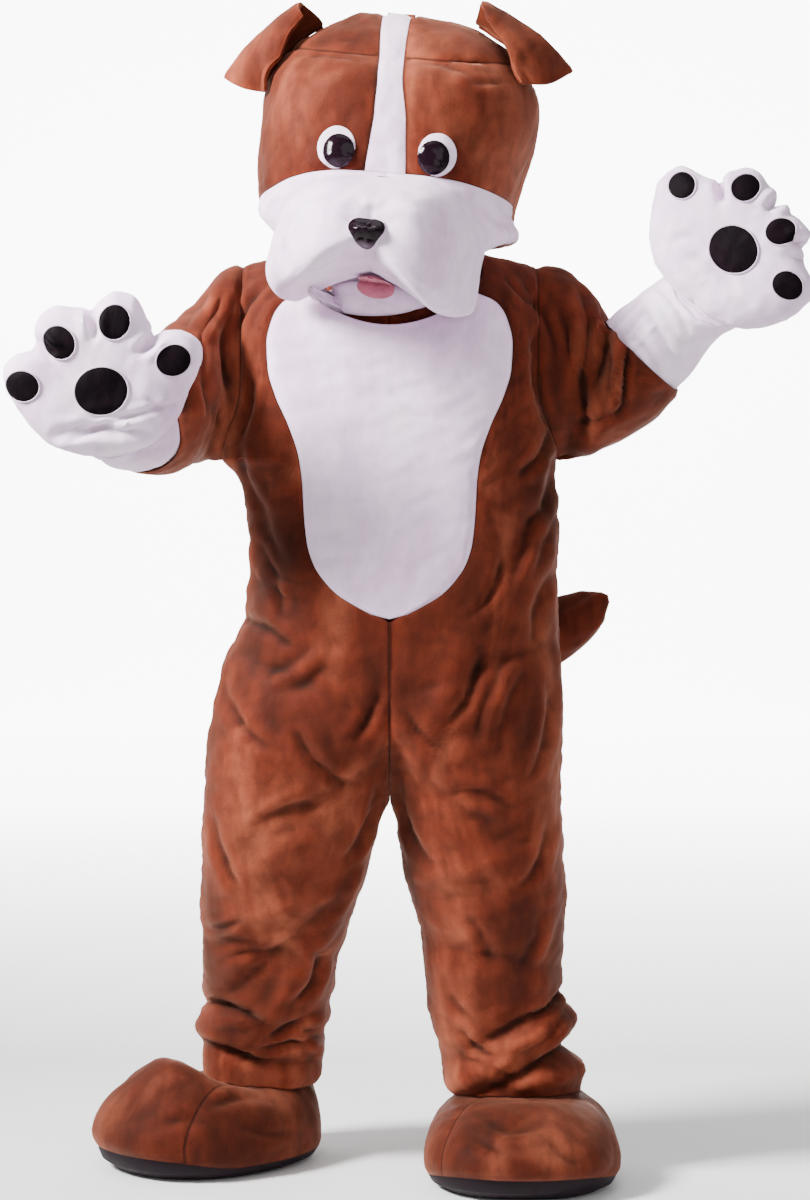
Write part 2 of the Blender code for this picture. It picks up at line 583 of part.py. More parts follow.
def suit_side(side_name):
    """The grids of one side's front and back, and the half of the bib, from the shoulder to the hem."""
    front, back, bib = [], [], []
    share = np.linspace(1, 0, BIB_COLUMNS + 1)
    for step in reversed(ARMHOLE_STEPS):
        z_out = armhole_z(step)
        x_out = float(armhole_x(z_out)) if step > 0 else ARMPIT_X
        rise = step / BIB_TOP
        if step <= BIB_TOP:
            z_in = ARMPIT_Z + (BIB_TOP_Z - ARMPIT_Z) * rise
            x_in = float(curve(BIB_WIDTHS["z"], BIB_WIDTHS["half"], z_in))
            back_z, back_x = ARMPIT_Z + (BACK_NECK_Z - ARMPIT_Z) * rise, 0.0
            bib.append(suit_point(side_name, FRONT, None, bib_height(z_in, share), share * x_in))
        else:
            past = (step - BIB_TOP) / (1 - BIB_TOP)
            z_in = BIB_TOP_Z + (NECK_Z - BIB_TOP_Z) * past
            x_in = NECK_X - 0.004 * (1 - past) + 0.006 * math.sin(math.pi * past)
            back_x = NECK_X * past ** 0.8
            back_z = BACK_NECK_Z + (NECK_Z - BACK_NECK_Z) * past ** 2
        front.append(suit_row(side_name, FRONT, z_out, x_out, z_in, x_in, PANEL_COLUMNS))
        back.append(suit_row(side_name, BACK, z_out, x_out, back_z, back_x, PANEL_COLUMNS))
    for z in BIB_ROWS:
        x_side = float(half_width(side_name, z))
        x_bib = float(curve(BIB_WIDTHS["z"], BIB_WIDTHS["half"], z))
        bib.append(suit_point(side_name, FRONT, None, bib_height(z, share), share * x_bib))
        front.append(suit_row(side_name, FRONT, z, x_side, z, x_bib, PANEL_COLUMNS))
        back.append(suit_row(side_name, BACK, z, x_side, z, 0.0, PANEL_COLUMNS))
    for z in HIP_ROWS:
        x_side = float(half_width(side_name, z))
        z_mid = BIB_BOTTOM_Z - BIB_POINT if z == HIP_ROWS[0] else z
        front.append(suit_row(side_name, FRONT, z, x_side, z_mid, 0.0, PANEL_COLUMNS))
        back.append(suit_row(side_name, BACK, z, x_side, z, 0.0, PANEL_COLUMNS))
    for z in LEG_ROWS:
        for face, rows in ((FRONT, front), (BACK, back)):
            turn = np.linspace(0, math.pi, PANEL_COLUMNS + 1)
            rows.append(suit_point(side_name, face, turn, np.full(PANEL_COLUMNS + 1, z)))
    return np.array(front), np.array(back), np.array(bib)


def sleeve(side_name, front, back):
    """Rings from the armhole's own points to the cuff."""
    count = len(ARMHOLE_STEPS)
    loop = np.concatenate([front[:count, 0], back[1:count - 1, 0][::-1]])
    steps = np.array(list(reversed(ARMHOLE_STEPS)))
    lift = np.concatenate([steps, steps[1:-1][::-1]]) * math.pi - math.pi / 2
    forward = np.concatenate([np.ones(count), -np.ones(count - 2)])
    sections = np.array(SLEEVE_SECTIONS[side_name])
    middle = np.array([SIDES[side_name] * (ARMHOLE_X + 0.012), 0.0, (SHOULDER_Z + ARMPIT_Z) / 2])
    keys = np.arange(len(sections) + 1)
    armhole = np.concatenate([middle, [SIDES[side_name] * -0.012, 0, 0.1525], [0, -0.08, 0]])
    columns = np.vstack([armhole, sections])
    rows = [loop]
    for at in np.linspace(0, len(sections), SLEEVE_ROWS + 1)[1:]:
        centre, up, out = (np.array([curve(keys, columns[:, k + axis], at) for axis in range(3)])
                           for k in (0, 3, 6))
        ring = centre + np.sin(lift)[:, None] * up + (np.cos(lift) * forward)[:, None] * out
        share = eased(at / 2.5)
        rows.append((1 - share) * (loop + centre - middle) + share * ring)
    grid = np.array(rows)
    return grid if side_name == "left" else grid[:, ::-1]


def facing_out(grid, centre, ring=False):
    """The grid with its columns turned round if its faces would point at the centre."""
    normal = vertex_normals([grid], (0,) if ring else ())[0]
    if np.sum(normal * (grid - centre)) < 0:
        return grid[:, ::-1]
    return grid


def rest_hems(panels, shoes):
    """The trouser hems break on the tops of the shoe covers."""
    for name, grid in panels.items():
        if name.startswith(("suit_front", "suit_back")):
            for point in grid[-1]:
                above = Vector((point[0], point[1], point[2] + HEM_SEARCH))
                hit = shoes.ray_cast(above, Vector((0, 0, -1)), 2 * HEM_SEARCH)[0]
                if hit is not None:
                    point[2] = np.clip(hit.z + HEM_GAP, point[2] - HEM_REACH, point[2] + HEM_REACH)


def met(left, right):
    """Gives the points that both sides have on the mid plane one place."""
    on_middle = (np.abs(left[:, -1, 0]) < SEAM_GAP) & (left[:, -1, 2] >= CROTCH_Z)
    middle = 0.5 * (left[on_middle, -1] + right[on_middle, -1])
    left[on_middle, -1], right[on_middle, -1] = middle, middle


def build_suit(plush, white, shoes):
    panels, rings, halves = {}, [], {}
    core = np.array([0.0, 0.0, -0.45])
    grids = {side_name: suit_side(side_name) for side_name in SIDES}
    for left, right in zip(grids["left"][:2], grids["right"]):
        met(left, right)
    for side_name, side in SIDES.items():
        front, back, bib = grids[side_name]
        halves[side_name] = bib
        leg = np.array([side * 0.12, 0.0, -0.6])
        panels["suit_front_" + side_name] = facing_out(front, leg)
        panels["suit_back_" + side_name] = facing_out(back, leg)
        tube = sleeve(side_name, front, back)
        axis = np.mean(tube, axis=1, keepdims=True)
        panels["sleeve_" + side_name] = facing_out(tube, axis, ring=True)
        rings.append("sleeve_" + side_name)
    bib = np.concatenate([halves["right"], halves["left"][:, ::-1][:, 1:]], axis=1)
    panels["bib"] = facing_out(bib, core)

    rest_hems(panels, shoes)
    made = sewn(panels, PLUSH, FOLDS, rings, side_of)
    for name, (outer, inner) in made.items():
        wall(name, outer, inner, white if name == "bib" else plush, ring=name in rings)
    return made


# ---------------------------------------------------------------- head

def head_value(column, level):
    return curve(range(TOP_LEVEL + 1), HEAD_LEVELS[column], level)


def head_point(side, angle, level):
    """A point of the head in its own frame. The angle is 0 at the side, 90 at the front, -90 at the back."""
    face = np.sin(angle)
    front = face > 0
    half = head_value("half", level) * (head_value("left_share", level) if side == LEFT else 1.0)
    depth = np.where(front, -head_value("front", level), head_value("back", level))
    inset = np.where(front, head_value("blaze", level), 0.0)
    end_z = np.where(front, head_value("front_z", level), head_value("back_z", level))
    x = inset + np.maximum(half - inset, 0) * np.abs(np.cos(angle)) ** (2 / HEAD_SQUARENESS)
    x = np.where(half < inset, inset * np.abs(face), x)
    y = depth * np.abs(face) ** (2 / HEAD_SQUARENESS)
    side_z = head_value("side_z", level) + (head_value("left_lift", level) if side == LEFT else 0.0)
    z = side_z + (end_z - side_z) * np.abs(face) ** 2.2
    return np.stack([side * x, y, z + 0 * x], axis=-1)


def head_turn(points):
    """Head frame to the costume's frame: the head is rolled and turned on a neck that stays put."""
    points = np.asarray(points, float)
    share = eased((points[..., 2] + 0.12) / 0.14 + np.maximum(-points[..., 1] - 0.14, 0) / 0.10)
    local = points - HEAD_PIVOT
    yaw = -HEAD_YAW * share
    x = local[..., 0] * np.cos(yaw) - local[..., 1] * np.sin(yaw)
    y = local[..., 0] * np.sin(yaw) + local[..., 1] * np.cos(yaw)
    roll = HEAD_ROLL * share
    z = local[..., 2]
    turned = np.stack([x * np.cos(roll) + z * np.sin(roll), y, -x * np.sin(roll) + z * np.cos(roll)], axis=-1)
    return turned + HEAD_PIVOT


def bumped(points, normals, bumps):
    depth = np.zeros(points.shape[:-1])
    for x, z, width, height in bumps:
        near = np.exp(-((points[..., 0] - x) ** 2 + (points[..., 2] - z) ** 2) / width ** 2)
        depth += height * near * eased(0.5 - 0.8 * normals[..., 1])
    return points + normals * depth[..., None]


def leaned(points):
    lean = STRIPE_LEAN
    high = np.clip((points[..., 2] - lean["from_z"]) / (lean["to_z"] - lean["from_z"]), 0, 1)
    near = np.maximum(0, 1 - (points[..., 0] / lean["half_wide"]) ** 2)
    near = near * eased((lean["back_y"] - points[..., 1]) / lean["fade"])
    return points - np.array([lean["aside"], 0, 0]) * (high * near)[..., None]


def build_head(plush, white):
    panels = {}
    front = np.linspace(0, math.pi / 2, HEAD_FRONT_COLUMNS + 1)
    back = np.linspace(-math.pi / 2, 0, HEAD_BACK_COLUMNS + 1)
    whole = np.concatenate([back, front[1:]])
    core = np.array([0.0, 0.0, 0.15])
    plan = {
        "head_jaw": (whole, HEAD_ROWS["jaw"]),
        "head_cheek": (front, HEAD_ROWS["cheek"]),
        "head_face": (front, HEAD_ROWS["face"]),
        "head_back": (back, HEAD_ROWS["cheek"] + HEAD_ROWS["face"][1:]),
        "head_crown": (whole, HEAD_ROWS["crown"]),
    }
    for side_name, side in SIDES.items():
        for piece, (angles, levels) in plan.items():
            grid = np.array([head_point(side, angles, level) for level in levels])
            if piece in ("head_jaw", "head_cheek"):
                middle = grid[:, -1:] * np.array([0.0, 1.0, 1.0])
                grid = np.concatenate([grid, middle], axis=1)
            panels[piece + "_" + side_name] = facing_out(grid, core)
    rows = HEAD_ROWS["face"] + HEAD_ROWS["crown"][1:]
    stripe = []
    for level in rows:
        edge = head_point(LEFT, np.array([math.pi / 2]), level)[0]
        stripe.append([[share * edge[0], edge[1], edge[2]] for share in (-1, 0, 1)])
    panels["blaze"] = facing_out(np.array(stripe), core)

    names = list(panels)
    normals = vertex_normals(list(panels.values()))
    panels = {name: bumped(panels[name], normal, HEAD_BUMPS) for name, normal in zip(names, normals)}
    panels["blaze"][-1, :, 1] -= STRIPE_END_GAP
    made = sewn(panels, HEAD_FOAM, keep_side=side_of)
    objects = {}
    for name, (outer, inner) in made.items():
        is_white = name == "blaze" or "cheek" in name
        objects[name] = wall(name, leaned(outer), leaned(inner), white if is_white else plush)
    return objects


def surface_of(objects):
    """The joined faces of some objects, to lay other pieces on."""
    points, faces = [], []
    for thing in objects:
        start = len(points)
        points += [thing.matrix_world @ vert.co for vert in thing.data.vertices]
        faces += [[start + index for index in face.vertices] for face in thing.data.polygons]
    return BVHTree.FromPolygons(points, faces)


def landed(tree, points, out, reach=0.3):
    """Where the points meet the surface when they move against the way out; a miss keeps its place."""
    way = Vector(-np.asarray(out, float))
    found = []
    for point in points.reshape(-1, 3):
        start = Vector(point) - way * reach
        hit = tree.ray_cast(start, way, 2 * reach)[0]
        if hit is None:
            hit = tree.ray_cast(start + Vector((0.0002, 0.0002, 0.0002)), way, 2 * reach)[0]
        found.append(point if hit is None else hit)
    return np.array(found, float).reshape(points.shape)


def rested(tree, flat, out, gap, ring=True):
    """The points landed on a surface, then raised until the faces between them clear it by the gap."""
    under = landed(tree, flat, out)
    lift = np.zeros(flat.shape[:2])
    rows, columns = flat.shape[:2]
    spans = [(0, 1), (1, 0), (1, 1)]
    for down, along in spans:
        steps = [(i * down, j * along) for i in (0, 1) for j in (0, 1)]
        width = columns if ring else columns - along
        parts = [(np.arange(rows - down) + i, (np.arange(width) + j) % columns) for i, j in steps]
        middle = np.mean([flat[np.ix_(i, j)] for i, j in parts], axis=0)
        faces = np.mean([under[np.ix_(i, j)] for i, j in parts], axis=0)
        short = np.clip(1.25 * (landed(tree, middle, out) - faces) @ out, 0, LARGEST_LIFT)
        for i, j in parts:
            lift[np.ix_(i, j)] = np.maximum(lift[np.ix_(i, j)], short)
    if ring:
        lift[0] = lift[0].max()
    return under + out * (gap + lift)[..., None]


def laid(name, tree, centre, wide, tall, out, rise, material, outline=None, points=14, rings=3, gap=LAID_GAP):
    """A rounded piece that lies on a surface. wide and tall are its half axes as vectors."""
    out = np.asarray(out, float) / np.linalg.norm(out)
    turn = np.linspace(0, 2 * math.pi, points, endpoint=False)
    reach = np.ones(points) if outline is None else outline(turn)
    spokes = np.cos(turn)[:, None] * np.asarray(wide) + np.sin(turn)[:, None] * np.asarray(tall)
    shares = np.linspace(0, 1, rings + 1)
    flat = np.asarray(centre) + shares[:, None, None] * (spokes * reach[:, None])[None]
    under = rested(tree, flat, out, gap)
    crown = 0.25 + 0.75 * (1 - shares ** 2.4)[:, None, None] ** 0.6
    return wall(name, under + out * rise * crown, under, material, ring=True)


def face_frame(piece, side=1):
    return np.array([side * piece["x"], -0.2, piece["z"]])


def build_muzzle(tree, white):
    outline = MUZZLE_OUTLINE
    count = len(outline["x"])
    steps = np.linspace(0, count - 1, 15)
    x, z = (curve(range(count), outline[axis], steps) for axis in ("x", "z"))
    x, z = np.concatenate([x, -x[-2:0:-1]]), np.concatenate([z, z[-2:0:-1]])
    sag = eased(-z / 0.10)
    left = np.clip(x / 0.12, 0, 1)
    x = x - sag * (MUZZLE_SAG["aside"] + MUZZLE_SAG["left_aside"] * left)
    z = z - MUZZLE_SAG["left_drop"] * sag * left
    rings = np.array([0, 0.3, 0.55, 0.75, 0.9, 1.0])[:, None]
    grid = np.stack([MUZZLE_MIDDLE[0] + rings * (x - MUZZLE_MIDDLE[0]), 0 * rings * x,
                     MUZZLE_MIDDLE[1] + rings * (z - MUZZLE_MIDDLE[1])], axis=-1)
    face = landed(tree, grid + np.array([0, MUZZLE_BACK_Y, 0]), (0, -1, 0))[..., 1]
    back_y = np.minimum(face, MUZZLE_BACK_Y) - MUZZLE_GAP
    crown = (1 - rings ** 2.6) ** 0.55
    lobes = 0.022 * np.exp(-((np.abs(grid[..., 0]) - 0.085) / 0.05) ** 2) * (1 - rings ** 2)
    front_y = -0.205 + 0.02 * rings - MUZZLE_DEPTH * crown - lobes
    outer, inner = grid.copy(), grid.copy()
    inner[..., 1] = back_y
    outer[..., 1] = np.minimum(front_y, back_y - MUZZLE_RIM)
    return wall("muzzle", outer, inner, white, ring=True)


def build_ear(side_name, tree, plush):
    sections = np.array(EAR_SECTIONS[side_name])
    keys = range(len(sections))
    rows = np.linspace(0, len(sections) - 1, EAR_ROWS + 1)
    ends = [np.stack([curve(keys, sections[:, k + axis], rows) for axis in range(3)], axis=-1)
            for k in (0, 3)]
    share = np.linspace(0, 1, EAR_COLUMNS + 1)[None, :, None]
    grid = ends[0][:, None] * (1 - share) + ends[1][:, None] * share
    swell = np.sin(share * math.pi) * 0.020 * np.linspace(0.2, 1, EAR_ROWS + 1)[:, None, None]
    grid = grid + swell * np.array([0.3 * SIDES[side_name], -0.6, 0.7])
    core = np.array([0.0, 0.0, 0.15])
    away = grid - core
    far = np.linalg.norm(away, axis=-1)
    away = away / far[..., None]
    skin = np.array([[(landed(tree, point, way, 0.25) - core) @ way for point, way in zip(*row)]
                     for row in zip(grid, away)])
    clear = np.maximum(far - skin, EAR_CLEAR)
    clear[0] = EAR_CLOTH + EAR_ROOT_GAP
    ear_middle = np.array([SIDES[side_name] * 0.14, -0.045, 0.25])
    grid = facing_out(core + away * (skin + clear)[..., None], ear_middle)
    normal = vertex_normals([grid])[0]
    normal[0] = (grid[0] - core) / np.linalg.norm(grid[0] - core, axis=-1, keepdims=True)
    under = grid - normal * EAR_CLOTH
    lining = (under - normal * SEAM_GAP)[1:]
    wall("ear_outer_" + side_name, grid, under, plush)
    wall("ear_lining_" + side_name, lining, lining - normal[1:] * EAR_LINING, plush)


def nose_outline(turn):
    """A rounded triangle with its point down."""
    return 1 + 0.13 * np.sin(3 * turn)


def build_face(shell, plush, white, black, eye_white, nose_black, pink):
    front = (0, -1, 0)
    face = surface_of(list(shell.values()))
    for side_name, side in SIDES.items():
        out = (side * 0.15, -1, 0.1)
        eye = laid("eye_white_" + side_name, face, face_frame(EYE, side), (EYE["half_wide"], 0, 0),
                   (0, 0, EYE["half_tall"]), out, EYE["rise"], eye_white)
        laid("pupil_" + side_name, surface_of([eye, *shell.values()]), face_frame(PUPIL, side),
             (PUPIL["half_wide"], 0, 0), (0, 0, PUPIL["half_tall"]), out, PUPIL["rise"], black)
        build_ear(side_name, face, plush)
    muzzle = build_muzzle(face, white)
    laid("nose", surface_of([muzzle]), face_frame(NOSE), (NOSE["half_wide"], 0, 0), (0, 0, NOSE["half_tall"]),
         front, NOSE["rise"], nose_black, nose_outline, points=15, rings=3)
    chin = laid("chin", face, face_frame(CHIN), (CHIN["half_wide"], 0, 0), (0, 0, CHIN["half_tall"]), front,
                CHIN["rise"], white, points=18)
    laid("tongue", surface_of([chin]), face_frame(TONGUE), (TONGUE["half_wide"], 0, 0),
         (0, 0, TONGUE["half_tall"]), front, TONGUE["rise"], pink)


def turn_head():
    """Rolls and turns every head piece as one."""
    for thing in bpy.data.objects:
        for vert in thing.data.vertices:
            vert.co = head_turn(np.array(vert.co))


# ---------------------------------------------------------------- mitts

def unit(vector):
    vector = np.asarray(vector, float)
    return vector / np.linalg.norm(vector)


def mitt_axes(mitt):
    """The palm's middle axis, its side axis towards the thumb, and the way that it faces."""
    faces = unit(mitt["faces"])
    up = unit(np.array(mitt["up"]) - faces * np.dot(mitt["up"], faces))
    return up, mitt["turn"] * unit(np.cross(up, faces)), faces


def inside_cuff(gauntlet, sleeve_tree, play):
    """The gauntlet with its last two rings drawn in to clear the inside of the sleeve."""
    room = np.ones(gauntlet.shape[1])
    for share in (0.2, 0.4, 0.6, 0.8, 1.0):
        ring = gauntlet[-2] * (1 - share) + gauntlet[-1] * share
        middle = np.mean(ring, axis=0)
        for j, point in enumerate(ring):
            distance = sleeve_tree.ray_cast(Vector(middle), Vector(unit(point - middle)), WRIST_SEARCH)[3]
            room[j] = min(room[j], distance or 1.0)
    room = np.minimum(room, np.minimum(np.roll(room, 1), np.roll(room, -1))) - play
    for ring in (gauntlet[-2], gauntlet[-1]):
        middle = np.mean(ring, axis=0)
        reach = np.linalg.norm(ring - middle, axis=-1)
        ring[:] = middle + (ring - middle) * (np.minimum(reach, room) / reach)[:, None]
    return gauntlet


def build_mitt(side_name, white, pad_black):
    mitt = MITTS[side_name]
    palm_at = np.array(mitt["palm"])
    up, side, faces = mitt_axes(mitt)
    turn = np.linspace(-180, 180, MITT_POINTS, endpoint=False)
    reach = curve(PAW_OUTLINES[side_name]["angle"], PAW_OUTLINES[side_name]["radius"], turn)
    spokes = np.cos(np.radians(turn))[:, None] * up + np.sin(np.radians(turn))[:, None] * side
    edge = palm_at + spokes * reach[:, None]
    shares = np.array([0, 0.55, 0.82, 0.95, 1.0])[:, None, None]
    palm = palm_at + shares * (edge - palm_at)[None] + faces * PALM_RISE * (1 - shares ** 4) ** 0.5

    hole_up, hole_back = mitt["hole"]
    hole_at = palm_at + up * hole_up + faces * hole_back
    hole_way = unit(-faces - up * mitt["hole_tilt"])
    hole_up_axis = unit(up - hole_way * np.dot(up, hole_way))
    hole_side = unit(side - hole_way * np.dot(side, hole_way) - hole_up_axis * np.dot(side, hole_up_axis))
    hole_ring = hole_at + mitt["wrist"] * (np.cos(np.radians(turn))[:, None] * hole_up_axis
                                          + np.sin(np.radians(turn))[:, None] * hole_side)
    steps = np.array([0, 0.18, 0.5, 1.0])[:, None, None]
    span = np.linalg.norm(edge - hole_ring, axis=1)[None, :, None]
    bulge = np.minimum(0.30 * span, BACK_RISE) * np.sin(math.pi * steps ** 0.75)
    back = edge * (1 - steps) + hole_ring * steps - faces * bulge

    path = GAUNTLETS[side_name]
    rows = [hole_ring]
    keys = range(len(path["x"]))
    for at in np.linspace(0, len(path["x"]) - 1, 3):
        centre = np.array([float(curve(keys, path[axis], at)) for axis in ("x", "y", "z")])
        ahead = np.array([float(curve(keys, path[axis], min(at + 0.3, 2))) for axis in ("x", "y", "z")])
        behind = np.array([float(curve(keys, path[axis], max(at - 0.3, 0))) for axis in ("x", "y", "z")])
        way = unit(ahead - behind)
        first = unit(hole_up_axis - way * np.dot(hole_up_axis, way))
        second = unit(hole_side - way * np.dot(hole_side, way) - first * np.dot(hole_side, first))
        radius = float(curve(keys, path["radius"], at))
        rows.append(centre + radius * (np.cos(np.radians(turn))[:, None] * first
                                       + np.sin(np.radians(turn))[:, None] * second))
    sleeve_tree = surface_of([bpy.data.objects["sleeve_" + side_name]])
    gauntlet = inside_cuff(np.array(rows), sleeve_tree, CUFF_PLAY[side_name])
    names = {"palm": palm, "back": back, "cuff": gauntlet}
    panels = {}
    for piece, grid in names.items():
        middle = np.mean(grid, axis=1, keepdims=True) if piece == "cuff" else palm_at
        panels[f"mitt_{piece}_{side_name}"] = facing_out(grid, middle, ring=True)
    made = sewn(panels, MITT_CLOTH, rings=list(panels), domes=[f"mitt_palm_{side_name}"])
    objects = [wall(name, outer, inner, white, ring=True) for name, (outer, inner) in made.items()]
    tree = surface_of(objects[:1])
    laid(f"mitt_palm_pad_{side_name}", tree, palm_at, PALM_PAD["wide"] * side, PALM_PAD["tall"] * up, faces,
         PAD_RISE, pad_black, points=12, rings=2)
    pads = TOE_PADS[side_name]
    wide, tall = pads["half"]
    for number, (angle, out) in enumerate(zip(pads["angle"], pads["out"]), start=1):
        angle = math.radians(angle)
        along = math.cos(angle) * up + math.sin(angle) * side
        across = unit(np.cross(along, faces))
        laid(f"mitt_toe_pad_{number}_{side_name}", tree, palm_at + along * out, wide * across, tall * along,
             faces, PAD_RISE, pad_black, points=10, rings=2)


# ---------------------------------------------------------------- shoe covers

def build_shoe(side_name, plush, sole_black):
    shoe = SHOES[side_name]
    heading = math.radians(shoe["heading"])
    ahead = np.array([-math.sin(heading), -math.cos(heading), 0.0])
    across = np.array([math.cos(heading), -math.sin(heading), 0.0])
    hem_z = LEG_ROWS[-1]
    ankle_x = SIDES[side_name] * float(ring_centre(side_name, hem_z)) + shoe["aside"]
    centre = np.array([ankle_x, ANKLE_Y[side_name], FLOOR_Z]) + ahead * ANKLE_BACK
    lift = np.array([0.0, 0.0, 1.0])
    turn = np.radians(shoe["seam"]) + np.linspace(0, 2 * math.pi, SHOE_POINTS, endpoint=False)
    forward = power(np.cos(turn), 0.9) * SHOE_HALF_LENGTH
    sideways = power(np.sin(turn), 0.9) * SHOE_HALF_WIDTH * (1 + 0.10 * np.cos(turn))
    welt = SIDE_SPRING + (TOE_SPRING - SIDE_SPRING) * eased((forward / SHOE_HALF_LENGTH - 0.2) / 0.8)
    opening = (-ANKLE_BACK + np.cos(turn) * ANKLE_RADIUS, np.sin(turn) * ANKLE_RADIUS * 0.95)
    rows = []
    rows.append(centre + opening[0][:, None] * ahead + opening[1][:, None] * across
                + (SHOE_TOP + ANKLE_COLLAR) * lift)
    for step in (0, 0.17, 0.35, 0.53, 0.74, 1.0):
        out = math.sin(step * math.pi / 2 * 1.15) / math.sin(math.pi / 2 * 1.15)
        out = min(out, 1.05)
        height = math.cos(step * math.pi / 2)
        top = SHOE_TOP * (1 - 0.10 * np.clip(forward / SHOE_HALF_LENGTH, 0, 1) * step)
        x = opening[0] * (1 - out) + forward * out
        y = opening[1] * (1 - out) + sideways * out
        toe = np.exp(-((x / SHOE_HALF_LENGTH - 0.50) / 0.46) ** 2 - (y / SHOE_HALF_WIDTH / 0.8) ** 2)
        z = welt + (top - welt + shoe["toe_rise"] * toe * eased(step / 0.3)) * height
        rows.append(centre + x[:, None] * ahead + y[:, None] * across + z[:, None] * lift)
    upper = np.array(rows)
    half = SHOE_POINTS // 2
    parts = {"inner": upper[:, :half + 1], "outer": np.concatenate([upper[:, half:], upper[:, :1]], axis=1)}
    if side_name == "right":
        parts = {"outer": parts["inner"], "inner": parts["outer"]}
    middle = centre + lift * 0.05
    panels = {f"shoe_upper_{piece}_{side_name}": facing_out(grid, middle) for piece, grid in parts.items()}
    made = sewn(panels, SHOE_WALL)
    uppers = [wall(name, outer, inner, plush) for name, (outer, inner) in made.items()]

    shares = np.array([0, 0.6, 0.86, 0.97, 1.0])[:, None, None]
    rim = centre + forward[:, None] * ahead * SOLE_INSET + sideways[:, None] * across * SOLE_INSET
    flat = centre + shares * (rim - centre)[None]
    dished = (welt - SEAM_GAP) * (0.2 + 0.8 * shares[..., 0] ** 2)
    top = flat + lift * dished[..., None]
    top[..., 2] = np.maximum(top[..., 2], FLOOR_Z + SOLE_THICKNESS)
    rise = np.array([0, 0, 0.10, 0.45, 0.80])[:, None] * (welt - SEAM_GAP)
    bottom = flat + lift * rise[..., None]
    bottom = np.where(shares > 0.7, bottom, flat)
    wall(f"shoe_sole_{side_name}", top, bottom, sole_black, ring=True)
    return uppers


# ---------------------------------------------------------------- tail and back opening

def back_skin(tree, x, z):
    """How far back a piece sewn on the outside of the suit's back starts."""
    beside_seam = x if abs(x) > 0.001 else 0.001
    hit = tree.ray_cast(Vector((beside_seam, 0.5, z)), Vector((0, -1, 0)))[0]
    return hit.y + TAIL_GAP


def build_tail(back, plush):
    keys = range(len(TAIL_PATH["x"]))
    steps = np.linspace(0, len(TAIL_PATH["x"]) - 1, 9)
    turn = np.linspace(0, 2 * math.pi, TAIL_POINTS, endpoint=False)
    rows = []
    for at in steps:
        centre, ahead, behind = (np.array([float(curve(keys, TAIL_PATH[axis], np.clip(at + step, 0, 5)))
                                           for axis in ("x", "y", "z")]) for step in (0, 0.3, -0.3))
        way = unit(ahead - behind)
        first = unit(np.array([0, 0, 1.0]) - way * way[2])
        second = np.cross(way, first)
        radius = float(curve(keys, TAIL_PATH["radius"], at))
        rows.append(centre + radius * (np.cos(turn)[:, None] * first + 0.85 * np.sin(turn)[:, None] * second))
    grid = np.array(rows)
    tree = surface_of(back)
    for j in range(TAIL_POINTS):
        grid[0, j, 1] = back_skin(tree, grid[0, j, 0], grid[0, j, 2])
        grid[1, j, 1] = max(grid[1, j, 1], grid[0, j, 1] + 0.015)
    root = np.mean(grid[0], axis=0)
    cap = rested(tree, np.stack([np.tile(root, (TAIL_POINTS, 1)), (grid[0] + root) / 2, grid[0]]),
                 np.array([0.0, 1.0, 0.0]), TAIL_GAP)
    root[1], grid[0] = cap[0, 0, 1], cap[2]
    grid = np.concatenate([cap[1:2], grid])
    tip = np.mean(grid[-1], axis=0) + unit(np.mean(grid[-1], axis=0) - np.mean(grid[-2], axis=0)) * 0.006
    points = np.concatenate([grid.reshape(-1, 3), [root, tip]])
    count, rows = TAIL_POINTS, len(grid)
    faces = []
    for i in range(rows - 1):
        for j in range(count):
            a, b = i * count + j, i * count + (j + 1) % count
            faces += [(a, b, b + count), (a, b + count, a + count)]
    for j in range(count):
        faces.append(((j + 1) % count, j, rows * count))
        faces.append(((rows - 1) * count + j, (rows - 1) * count + (j + 1) % count, rows * count + 1))
    solid("tail", points, faces, plush)


def build_placket(back, plush):
    """The strip behind the centre-back opening, just inside the two back panels."""
    tree = surface_of(back)
    x, z = np.meshgrid(np.linspace(-PLACKET_HALF_WIDTH, PLACKET_HALF_WIDTH, 3),
                       np.linspace(PLACKET_TOP_Z, PLACKET_BOTTOM_Z, PLACKET_ROWS))
    grid = rested(tree, np.stack([x, 0 * x, z], axis=-1), np.array([0.0, -1.0, 0.0]), LAID_GAP, ring=False)
    wall("back_placket", grid, grid - np.array([0, PLACKET_CLOTH, 0]), plush)


def clear_scene():
    for thing in list(bpy.data.objects):
        bpy.data.objects.remove(thing)


def finish(name, colour, roughness, sheen=0.0):
    material = bpy.data.materials.new(name)
    material.use_nodes = True
    shader = material.node_tree.nodes["Principled BSDF"]
    shader.inputs["Base Color"].default_value = (*colour, 1)
    shader.inputs["Roughness"].default_value = roughness
    shader.inputs["Metallic"].default_value = 0.0
    shader.inputs["Sheen Weight"].default_value = sheen
    material.diffuse_color = (*colour, 1)
    return material


